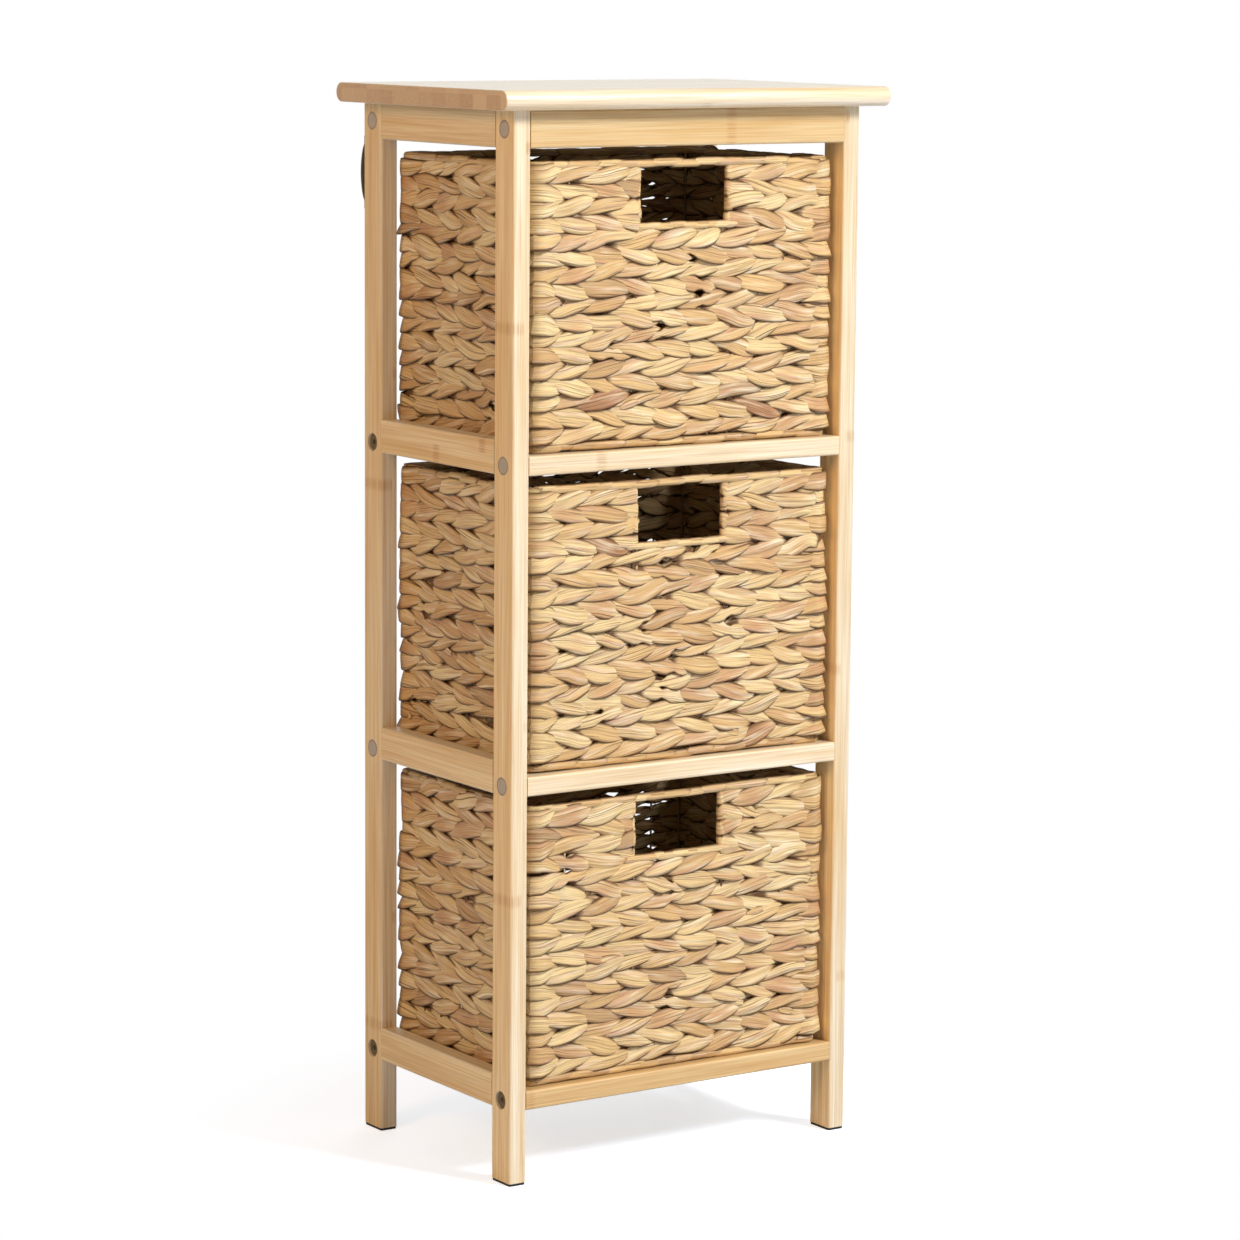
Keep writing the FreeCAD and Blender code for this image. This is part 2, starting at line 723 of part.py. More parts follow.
def wrapped_ring(label, lift, height):
    """Makes a band as thick as the wall, with rounded edges, round the whole basket."""
    body = new_body(label)
    outline = sketch_on(body, "Band", "XY_Plane", lift)
    rounded_rectangle(outline, basket_width, basket_depth, size.basket_corner)
    rounded_rectangle(outline, inner_width, inner_depth, inner_corner)
    band = pad(body, outline, height)
    round_edges(body, band, size.wrap_round, lies_level)
    return body


def binding_blank():
    """Makes the U-shaped binding that lines the hand hole, open to the rim above it."""
    body = new_body("binding_blank")
    outline = sketch_on(body, "Binding", "XZ_Plane", basket_depth / 2 - size.weave_thick)
    tall = size.hole_height + size.binding_width
    rectangle(outline, notch_width, tall, zero, wall_top - tall / 2)
    pad(body, outline, size.weave_thick)
    opening = sketch_on(body, "Opening", "XZ_Plane", basket_depth / 2)
    rectangle(opening, size.hole_width, size.hole_height, zero, wall_top - size.hole_height / 2)
    pocket(body, opening, size.weave_thick)
    return body


def make_baskets():
    """Makes the three basket drawers from one set of blanks."""
    wires = wire_frame("wire_blank", zero)
    wire_room = wire_frame("wire_room", size.wire_clear)
    blanks = {
        "weave": weave_blank(),
        "rim": wrapped_ring("rim_blank", wall_top, size.rim_height),
        "base_border": wrapped_ring("border_blank", zero, size.border_height),
        "hand_hole_binding": binding_blank(),
    }
    for level in DRAWERS:
        rest = level_bottom(level) + size.stock_thick + size.basket_rest_gap
        frame = doc.addObject("Part::Compound", f"{level}_basket_wire_frame")
        frame.Links = [wires]
        pieces = [frame]
        for name, blank in blanks.items():
            pieces.append(cut(f"{level}_basket_{name}", blank, wire_room))
        for piece in pieces:
            place(piece, zero, basket_y, rest)
            add_node(piece)
    doc.recompute()


def check_and_write():
    """Checks every object of the document and writes each sub-part to its own file."""
    doc.recompute()
    for item in doc.Objects:
        if {"Invalid", "Error"} & set(item.State):
            raise ValueError(f"{item.Label} failed: {item.State}")
    for item in nodes:
        if item.Shape.isNull() or not item.Shape.isValid():
            raise ValueError(f"{item.Label} has no valid shape")
    os.makedirs("parts", exist_ok=True)
    for item in nodes:
        item.Shape.exportStep(f"parts/{item.Label}.step")
        print(item.Label, len(item.Shape.Solids), round(item.Shape.Volume, 1))


make_stand()
make_baskets()
check_and_write()
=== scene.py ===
"""Looks of an open bamboo stand with three woven basket drawers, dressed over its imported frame.

Lengths are in metres. X runs to the right, Y to the back and Z up, as in the frame.
"""
from __future__ import annotations

import logging
import math
from dataclasses import dataclass, field
from enum import Enum
from typing import Any

import bpy
import numpy as np
from mathutils import Matrix, Vector

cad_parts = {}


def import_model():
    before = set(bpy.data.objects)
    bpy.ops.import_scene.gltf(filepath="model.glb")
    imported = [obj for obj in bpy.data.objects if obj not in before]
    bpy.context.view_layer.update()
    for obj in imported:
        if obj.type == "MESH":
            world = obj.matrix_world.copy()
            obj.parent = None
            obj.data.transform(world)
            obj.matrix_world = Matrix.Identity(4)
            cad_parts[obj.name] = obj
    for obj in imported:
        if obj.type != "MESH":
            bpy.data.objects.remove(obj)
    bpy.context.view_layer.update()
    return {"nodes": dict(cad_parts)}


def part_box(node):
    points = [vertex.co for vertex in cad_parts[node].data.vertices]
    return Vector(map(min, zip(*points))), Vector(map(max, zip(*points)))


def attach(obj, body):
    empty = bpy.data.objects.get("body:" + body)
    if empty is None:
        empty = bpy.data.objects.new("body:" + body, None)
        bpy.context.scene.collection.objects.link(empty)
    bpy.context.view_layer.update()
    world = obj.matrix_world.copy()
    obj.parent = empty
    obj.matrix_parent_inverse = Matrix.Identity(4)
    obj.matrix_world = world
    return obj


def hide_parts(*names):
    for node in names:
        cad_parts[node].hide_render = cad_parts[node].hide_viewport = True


Tree = bpy.types.NodeTree
Node = bpy.types.Node
Socket = bpy.types.NodeSocket
Piece = bpy.types.Object
Material = bpy.types.Material
Pair = tuple[float, float]
Triple = tuple[float, float, float]
Shares = np.ndarray | float

LOG = logging.getLogger("basket_stand")
MM = 0.001
UP = np.array([0.0, 0.0, 1.0])
WHITE = (1.0, 1.0, 1.0, 1.0)


class Grain(Enum):
    """Direction in which the fibres of a bamboo bar run, with the turn that lays them along X."""

    WIDE = (0.0, 0.0, 0.0)
    DEEP = (0.0, 0.0, -math.pi / 2)
    UPRIGHT = (0.0, math.pi / 2, 0.0)


class Face(Enum):
    """Face of a basket's wall, with its way from the middle of the wall."""

    OUTER = 1.0
    INNER = -1.0


class Slant(Enum):
    """Way in which the leaves of a row lean, seen from outside."""

    RISING = 1.0
    FALLING = -1.0


def linear(code: str) -> tuple[float, float, float, float]:
    """Turns an sRGB hex colour into the linear colour that shaders take.

    Args:
        code: Six hex digits after a hash sign.

    Returns:
        Linear red, green and blue, with full alpha.
    """
    parts = [int(code[i:i + 2], 16) / 255 for i in (1, 3, 5)]
    red, green, blue = (c / 12.92 if c <= 0.04045 else ((c + 0.055) / 1.055) ** 2.4 for c in parts)
    return red, green, blue, 1.0


def feed(tree: Tree, node: Node, feeds: dict[Any, Any]) -> None:
    """Sets or links a node's inputs.

    Args:
        tree: Tree that holds the node.
        node: Node to feed.
        feeds: Values, sockets or nodes, by the input's name or number. A node gives its first output.
    """
    for key, value in feeds.items():
        source = value.outputs[0] if isinstance(value, Node) else value
        if isinstance(source, Socket):
            tree.links.new(source, node.inputs[key])
        else:
            node.inputs[key].default_value = source


def add_node(tree: Tree, kind: str, feeds: dict[Any, Any] | None = None,
             stops: tuple[tuple[float, str], ...] = (), **settings: Any) -> Node:
    """Adds a node to a tree, sets it up and feeds its inputs.

    Args:
        tree: Shader or geometry tree.
        kind: Type name of the node.
        feeds: What goes into the inputs, as feed takes it.
        stops: Places and hex colours of a colour ramp.
        settings: Properties of the node.

    Returns:
        The new node.
    """
    node = tree.nodes.new(kind)
    for name, value in settings.items():
        setattr(node, name, value)
    feed(tree, node, feeds or {})
    for index, (place, code) in enumerate(stops):
        elements = node.color_ramp.elements
        stop = elements[index] if index < len(elements) else elements.new(place)
        stop.position = place
        stop.color = linear(code)
    return node


def new_material(name: str, values: dict[str, Any]) -> tuple[Material, Tree, Node]:
    """Starts a material with plain values on its shader's own sockets.

    Args:
        name: Name of the material.
        values: Values by socket name.

    Returns:
        The material, its tree and its shader node.
    """
    made = bpy.data.materials.new(name)
    made.use_nodes = True
    shader = made.node_tree.nodes["Principled BSDF"]
    feed(made.node_tree, shader, values)
    return made, made.node_tree, shader


def patches(tree: Tree, place: Any, sizes: Triple, detail: float) -> Socket:
    """Draws noise whose patches have a given length, width and depth.

    Args:
        tree: Shader tree.
        place: Coordinates to draw on.
        sizes: Length, width and depth of a patch.
        detail: Octaves of finer noise.

    Returns:
        The noise value.
    """
    scaled = add_node(tree, "ShaderNodeVectorMath", {0: place, 1: tuple(1 / size for size in sizes)},
                      operation="MULTIPLY")
    return add_node(tree, "ShaderNodeTexNoise", {"Vector": scaled, "Scale": 1.0, "Detail": detail}).outputs[0]


def cell_numbers(tree: Tree, place: Any, width: float, height: float) -> Socket:
    """Gives each cell of a grid across the X axis a random number of its own.

    Args:
        tree: Shader tree.
        place: Coordinates to draw on.
        width: Size of a cell along Y.
        height: Size of a cell along Z.

    Returns:
        The number, from zero to one.
    """
    grid = {0: place, 1: (0.0, 1 / width, 1 / height), 2: (0.5, 0.0, 0.0)}
    scaled = add_node(tree, "ShaderNodeVectorMath", grid, operation="MULTIPLY_ADD")
    cell = add_node(tree, "ShaderNodeVectorMath", {0: scaled}, operation="FLOOR")
    return add_node(tree, "ShaderNodeTexWhiteNoise", {"Vector": cell}).outputs["Value"]


def new_tree(name: str, inputs: dict[str, str], output: str) -> tuple[Tree, dict[str, str]]:
    """Starts a geometry tree with named inputs.

    Args:
        name: Name of the tree.
        inputs: Kinds of the input sockets by name.
        output: Name of the geometry that comes out.

    Returns:
        The tree and the identifiers of its inputs by name.
    """
    tree = bpy.data.node_groups.new(name, "GeometryNodeTree")
    face = tree.interface
    sockets = {label: face.new_socket(label, in_out="INPUT", socket_type=f"NodeSocket{kind}").identifier
               for label, kind in inputs.items()}
    face.new_socket(output, in_out="OUTPUT", socket_type="NodeSocketGeometry")
    return tree, sockets


def end_tree(tree: Tree, geometry: Node, finish: Socket) -> None:
    """Ends a geometry tree with real meshes in their finish.

    Args:
        tree: Geometry tree.
        geometry: Node that gives the geometry.
        finish: Socket that gives the material.
    """
    real = add_node(tree, "GeometryNodeRealizeInstances", {0: geometry})
    dressed = add_node(tree, "GeometryNodeSetMaterial", {0: real, "Material": finish})
    add_node(tree, "NodeGroupOutput", {0: dressed})


def add_object(name: str, data: Any) -> Piece:
    """Adds an object with a mesh, a lamp or a camera to the scene, at the origin.

    Args:
        name: Name of the object.
        data: Its mesh, lamp or camera.

    Returns:
        The object.
    """
    made = bpy.data.objects.new(name, data)
    bpy.context.scene.collection.objects.link(made)
    return made


def plain_mesh(piece: Piece, tree: Tree, values: dict[str, Any]) -> None:
    """Runs a geometry tree on a piece once and keeps the result as its plain mesh.

    Args:
        piece: Object that holds the tree's starting mesh.
        tree: Geometry tree.
        values: Inputs of the tree by identifier.
    """
    modifier = piece.modifiers.new("shape", "NODES")
    modifier.node_group = tree
    for identifier, value in values.items():
        modifier[identifier] = value
    graph = bpy.context.evaluated_depsgraph_get()
    made = bpy.data.meshes.new_from_object(piece.evaluated_get(graph), depsgraph=graph)
    piece.modifiers.clear()
    piece.data = made
    made.name = piece.name


@dataclass(frozen=True)
class Layer:
    """A colour that lies over a ground where a mask is high."""

    colour: str
    start: float
    full: float
    share: float = 1.0

    def over(self, tree: Tree, ground: Any, mask: Any) -> Socket:
        """Lays the colour over a ground.

        Args:
            tree: Shader tree.
            ground: Colour, socket or node to draw on.
            mask: Socket or node that brings the colour in, from start to full.

        Returns:
            The mixed colour.
        """
        amount = add_node(tree, "ShaderNodeMapRange",
                          {0: mask, 1: self.start, 2: self.full, 3: 0.0, 4: self.share})
        return add_node(tree, "ShaderNodeMixRGB", {0: amount, 1: ground, 2: linear(self.colour)}).outputs[0]


@dataclass(frozen=True)
class BambooFinish:
    """Laminated bamboo, planed and sealed with clear satin lacquer.

    The eye sees pale straw with fine lengthwise fibres, broader warm streaks, and now and then a
    knuckle: a narrow band of short darker dashes across a strip. Real fibres are about 0.3 mm wide.
    They are drawn coarser, so that they show.
    """

    grain: Grain
    label: str = ""
    pale: str = "#EEE4CB"
    warm: str = "#DDC394"
    fibre: str = "#BF8F56"
    knuckle: str = "#B37C42"
    warm_span: Pair = (0.3, 0.75)
    fibre_span: Pair = (0.42, 0.75)
    fibre_share: float = 0.5
    fibre_width: float = 0.9 * MM
    fibre_length: float = 75 * MM
    streak_width: float = 5 * MM
    streak_length: float = 170 * MM
    strip_width: float = 37 * MM
    strip_tones: Pair = (0.93, 1.04)
    knuckle_spacing: float = 430 * MM
    knuckle_width: float = 4 * MM
    dash_span: Pair = (0.4, 0.62)
    dash_shares: Pair = (0.1, 0.5)
    roughness: float = 0.36
    refraction: float = 1.47
    coat: float = 0.0
    coat_roughness: float = 0.16
    relief: float = 0.05 * MM
    # Faces that face along X: the board shows its sawn end grain there, and every other piece gets a warmer,
    # slightly darker tint, which is painted side light.
    painted_side_span: Pair = (0.7, 0.9)
    painted_side_tint: Triple = (1.1, 0.96, 0.7)
    end_blocks: bool = False
    end_pale: str = "#DFBA80"
    end_dark: str = "#A9783A"
    block_width: float = 19 * MM
    block_height: float = 30 * MM
    block_shares: Pair = (0.25, 0.75)
    pore_span: Pair = (0.3, 0.7)
    pore_shares: Pair = (0.5, 1.1)
    seam: float = 821 * MM

    def material(self) -> Material:
        """Builds the material for this grain direction.

        Returns:
            The material.
        """
        made, tree, shader = new_material(
            f"lacquered_bamboo_{self.grain.name.lower()}{self.label}",
            {"Roughness": self.roughness, "IOR": self.refraction, "Coat Weight": self.coat,
             "Coat Roughness": self.coat_roughness})
        place = add_node(tree, "ShaderNodeTexCoord").outputs
        along = add_node(tree, "ShaderNodeMapping", {0: place["Object"], "Rotation": self.grain.value})
        fine = patches(tree, along, (self.fibre_length, self.fibre_width, self.fibre_width), 3.0)
        broad = patches(tree, along, (self.streak_length, self.streak_width, self.streak_width), 2.0)
        strip = cell_numbers(tree, along, self.strip_width, self.strip_width)
        colour = Layer(self.warm, *self.warm_span).over(tree, linear(self.pale), broad)
        colour = Layer(self.fibre, *self.fibre_span, self.fibre_share).over(tree, colour, fine)
        low, high = self.strip_tones
        tint = add_node(tree, "ShaderNodeMapRange", {0: strip, 3: low, 4: high})
        toned = add_node(tree, "ShaderNodeVectorMath", {0: colour, 1: tint}, operation="MULTIPLY")
        colour = self.knuckles(tree, along, strip, fine, toned)
        # Painted light: faces that face along X take the tinted side colour, except on the board, where they
        # show sawn end grain.
        side = add_node(tree, "ShaderNodeSeparateXYZ", {0: place["Normal"]})
        side = add_node(tree, "ShaderNodeMath", {0: side}, operation="ABSOLUTE")
        start, full = self.painted_side_span
        mask = add_node(tree, "ShaderNodeMapRange", {0: side, 1: start, 2: full})
        if self.end_blocks:
            end_grain_or_painted_side = self.sawn_ends(tree, place["Object"])
        else:
            end_grain_or_painted_side = add_node(tree, "ShaderNodeVectorMath", {0: colour, 1: self.painted_side_tint},
                             operation="MULTIPLY")
        with_end_grain_or_painted_side = add_node(tree, "ShaderNodeMixRGB", {0: mask, 1: colour, 2: end_grain_or_painted_side})
        relief = add_node(tree, "ShaderNodeBump", {"Strength": 0.25, "Distance": self.relief, "Height": fine})
        feed(tree, shader, {"Base Color": with_end_grain_or_painted_side, "Normal": relief})
        return made

    def knuckles(self, tree: Tree, along: Node, strip: Socket, fine: Socket, ground: Node) -> Node:
        """Draws the knuckles, at a different place on each strip.

        Args:
            tree: Shader tree.
            along: Coordinates with the grain along X.
            strip: Random number of each strip.
            fine: Fibre noise, which breaks the band into dashes.
            ground: Colour to draw on.

        Returns:
            The colour with knuckles.
        """
        gap = add_node(tree, "ShaderNodeSeparateXYZ", {0: along})
        for operation, other in (("MULTIPLY", 1 / self.knuckle_spacing), ("ADD", strip), ("FRACT", 0.0),
                                 ("SUBTRACT", 0.5), ("ABSOLUTE", 0.0)):
            gap = add_node(tree, "ShaderNodeMath", {0: gap, 1: other}, operation=operation)
        half = self.knuckle_width / self.knuckle_spacing / 2
        band = add_node(tree, "ShaderNodeMapRange", {0: gap, 1: half, 2: half * 3, 3: 1.0, 4: 0.0})
        sizes = dict(enumerate(self.dash_span + self.dash_shares, start=1))
        dash = add_node(tree, "ShaderNodeMapRange", {0: fine} | sizes)
        mark = add_node(tree, "ShaderNodeMath", {0: band, 1: dash}, operation="MULTIPLY")
        return add_node(tree, "ShaderNodeMixRGB", {0: mark, 1: ground, 2: linear(self.knuckle)})

    def sawn_ends(self, tree: Tree, place: Socket) -> Node:
        """Draws the sawn ends of the strips on the two end faces of the board.

        Args:
            tree: Shader tree.
            place: Object coordinates.

        Returns:
            The colour of the end grain.
        """
        lowered = add_node(tree, "ShaderNodeVectorMath", {0: place, 1: (0.0, 0.0, self.seam)},
                           operation="SUBTRACT")
        block = cell_numbers(tree, lowered, self.block_width, self.block_height)
        low, high = self.block_shares
        depth = add_node(tree, "ShaderNodeMapRange", {0: block, 3: low, 4: high})
        pores = patches(tree, place, (self.fibre_width,) * 3, 2.0)
        sizes = dict(enumerate(self.pore_span + self.pore_shares, start=1))
        specks = add_node(tree, "ShaderNodeMapRange", {0: pores} | sizes)
        mixed = add_node(tree, "ShaderNodeMath", {0: depth, 1: specks}, operation="MULTIPLY")
        return add_node(tree, "ShaderNodeMixRGB",
                        {0: mixed, 1: linear(self.end_pale), 2: linear(self.end_dark)})


@dataclass(frozen=True)
class HyacinthFinish:
    """Water hyacinth leaf, dried, flattened and braided by hand.

    The eye sees matt straw leaves with fine lengthwise ribs. Each leaf has its own tone, from cream
    to pinkish and grey, and a few are rust red. Real ribs are about 0.3 mm wide. They are drawn
    coarser, so that they show. Sizes of streaks are a length and a width.
    """

    tones: tuple[tuple[float, str], ...] = (
        (0.0, "#A9906F"), (0.12, "#BB9B71"), (0.3, "#CCA774"), (0.55, "#DBB981"),
        (0.8, "#EBD49E"), (0.93, "#CA9F72"), (1.0, "#A77C58"))
    bleach: Layer = Layer("#F7EACB", 0.5, 0.75, 0.75)
    stain: Layer = Layer("#C79474", 0.5, 0.75, 0.7)
    rib: Layer = Layer("#85603B", 0.46, 0.72, 0.56)
    crack: Layer = Layer("#5B3B22", 0.64, 0.7, 0.65)
    # edge: painted shade, dark brown along each leaf's edges and where the leaf tucks under its neighbour.
    edge: Layer = Layer("#5E3C1F", 0.68, 0.98, 0.9)
    rib_size: Pair = (60 * MM, 0.9 * MM)
    stain_size: Pair = (34 * MM, 3.2 * MM)
    bleach_size: Pair = (38 * MM, 4.5 * MM)
    fold_size: Pair = (40 * MM, 3.2 * MM)
    fold_depth: float = 2.4 * MM
    rib_depth: float = 0.8 * MM
    roughness: float = 0.52
    refraction: float = 1.4
    specular: float = 0.35

    def material(self) -> Material:
        """Builds the material, which reads from each leaf its tone, the direction of its ribs and the painted
        shade of its edges.

        Returns:
            The material.
        """
        made, tree, shader = new_material(
            "dried_water_hyacinth",
            {"Roughness": self.roughness, "IOR": self.refraction, "Specular IOR Level": self.specular})
        tone, leaf, brink = (add_node(tree, "ShaderNodeAttribute", attribute_name=name).outputs
                             for name in ("tone", "leaf", "brink"))
        ribs, blots, faded, folds = (
            patches(tree, leaf["Vector"], (length, width, 1.0), 2.0)
            for length, width in (self.rib_size, self.stain_size, self.bleach_size, self.fold_size))
        colour = add_node(tree, "ShaderNodeValToRGB", {0: tone["Fac"]}, self.tones)
        for layer, mask in ((self.bleach, faded), (self.stain, blots), (self.rib, ribs), (self.crack, ribs),
                            (self.edge, brink["Fac"])):
            colour = layer.over(tree, colour, mask)
        folded = add_node(tree, "ShaderNodeBump",
                          {"Strength": 0.9, "Distance": self.fold_depth, "Height": folds})
        relief = add_node(tree, "ShaderNodeBump",
                          {"Strength": 0.8, "Distance": self.rib_depth, "Height": ribs, "Normal": folded})
        feed(tree, shader, {"Base Color": colour, "Normal": relief})
        return made


@dataclass(frozen=True)
class GrittyFinish:
    """A plain moulded, plated or woven surface with a fine grit and slight patches of tone.

    It serves the black foot pads, the steel hardware, the dark wire, the raw dowels and the strap:
    the eye sees one tone that is never quite even.
    """

    name: str
    tone: str
    patch: str
    grit: float
    roughness: float
    metallic: float = 0.0

    def material(self) -> Material:
        """Builds the material.

        Returns:
            The material.
        """
        made, tree, shader = new_material(self.name, {"Roughness": self.roughness, "Metallic": self.metallic})
        place = add_node(tree, "ShaderNodeTexCoord").outputs["Object"]
        grain = patches(tree, place, (self.grit,) * 3, 4.0)
        colour = add_node(tree, "ShaderNodeMixRGB", {0: grain, 1: linear(self.tone), 2: linear(self.patch)})
        relief = add_node(tree, "ShaderNodeBump",
                          {"Strength": 0.3, "Distance": self.grit * 0.1, "Height": grain})
        feed(tree, shader, {"Base Color": colour, "Normal": relief})
        return made


@dataclass(frozen=True)
class CapFinish:
    """Thin moulded plastic cap, slightly glossy: the eye sees a dull mauve disc with one faint ring, drawn
    darker as painted shade in its groove.
    """

    tone: str = "#BAAF9B"
    patch: str = "#AD9D87"
    shaded_groove: str = "#8A6E55"
    grit: float = 4 * MM
    ring: float = 0.88
    ring_width: float = 0.07
    ring_depth: float = 0.2 * MM
    roughness: float = 0.42

    def material(self) -> Material:
        """Builds the material, which reads the distance from the cap's middle.

        Returns:
            The material.
        """
        made, tree, shader = new_material("moulded_cap", {"Roughness": self.roughness})
        place = add_node(tree, "ShaderNodeTexCoord").outputs["Object"]
        grain = patches(tree, place, (self.grit,) * 3, 4.0)
        colour = add_node(tree, "ShaderNodeMixRGB", {0: grain, 1: linear(self.tone), 2: linear(self.patch)})
        radial = add_node(tree, "ShaderNodeAttribute", attribute_name="radial").outputs["Fac"]
        away = add_node(tree, "ShaderNodeMath", {0: radial, 1: self.ring}, operation="SUBTRACT")
        gap = add_node(tree, "ShaderNodeMath", {0: away}, operation="ABSOLUTE")
        # Painted shade: the ring's groove is bumped, not cut, and drawn in a darker colour.
        shaded_groove = add_node(tree, "ShaderNodeMapRange", {0: gap, 1: 0.0, 2: self.ring_width})
        ringed = add_node(tree, "ShaderNodeMixRGB", {0: shaded_groove, 1: linear(self.shaded_groove), 2: colour})
        relief = add_node(tree, "ShaderNodeBump",
                          {"Strength": 0.8, "Distance": self.ring_depth, "Height": shaded_groove})
        feed(tree, shader, {"Base Color": ringed, "Normal": relief})
        return made


@dataclass
class GuideLines:
    """Lines along which leaves, wraps and the strap run, with the section's size at each point.

    Each line has a number, its kin, that gives it a pattern of its own.
    """

    NUMBERS = ("wide", "thick", "tone", "run", "kin", "dusk")
    points: list[np.ndarray] = field(default_factory=list)
    across: list[np.ndarray] = field(default_factory=list)
    rise: list[np.ndarray] = field(default_factory=list)
    shares: list[np.ndarray] = field(default_factory=list)
    edges: list[tuple[int, int]] = field(default_factory=list)
    count: int = 0
    kin_step: float = 3.7

    def add(self, line: np.ndarray, up: np.ndarray, wide: Shares = 1.0, thick: Shares = 1.0,
            tone: Shares = 0.5, dusk: Shares = 0.0, closed: bool = False, shear: float = 0.0,
            roll: Shares = 0.0) -> None:
        """Adds one line.

        Args:
            line: Points of the line.
            up: Direction of the section's width, one for all points or one for each.
            wide: Share of the full width at each point.
            thick: Share of the full thickness at each point.
            tone: Tone of the leaf at each point.
            dusk: Painted shade of the leaf at each point, as where it tucks under its neighbour; its edges
                get it too.
            closed: Whether the line closes on itself.
            shear: How far the section leans along the line, as a share of its width.
            roll: Turn of the section about the line, in radians.
        """
        total = len(line)
        if closed:
            ahead = np.roll(line, -1, axis=0) - np.roll(line, 1, axis=0)
        else:
            ahead = np.gradient(line, axis=0)
        ahead = ahead / np.linalg.norm(ahead, axis=1, keepdims=True)
        up = np.broadcast_to(up, line.shape)
        across = up - ahead * np.sum(up * ahead, axis=1, keepdims=True)
        across = across / np.linalg.norm(across, axis=1, keepdims=True)
        rise = np.cross(ahead, across)
        turn = np.broadcast_to(roll, total)[:, None]
        self.across.append(across * np.cos(turn) + rise * np.sin(turn) + ahead * shear)
        self.rise.append(rise * np.cos(turn) - across * np.sin(turn))
        run = np.concatenate([[0.0], np.cumsum(np.linalg.norm(np.diff(line, axis=0), axis=1))])
        kin = self.kin_step * len(self.points)
        numbers = (wide, thick, tone, run, kin, dusk)
        self.shares.append(np.stack([np.broadcast_to(v, total) for v in numbers], axis=1))
        self.points.append(line)
        last = total if closed else total - 1
        self.edges.extend((self.count + i, self.count + (i + 1) % total) for i in range(last))
        self.count += total

    def mesh(self, name: str) -> bpy.types.Mesh:
        """Turns the lines into a mesh of edges that carries their sizes as attributes.

        Args:
            name: Name of the mesh.

        Returns:
            The mesh.
        """
        made = bpy.data.meshes.new(name)
        made.from_pydata(np.concatenate(self.points).tolist(), self.edges, [])
        for label, rows in (("across", self.across), ("rise", self.rise)):
            column = made.attributes.new(label, "FLOAT_VECTOR", "POINT")
            column.data.foreach_set("vector", np.concatenate(rows).astype(np.float32).ravel())
        shares = np.concatenate(self.shares).astype(np.float32)
        for index, label in enumerate(self.NUMBERS):
            column = made.attributes.new(label, "FLOAT", "POINT")
            column.data.foreach_set("value", np.ascontiguousarray(shares[:, index]))
        return made


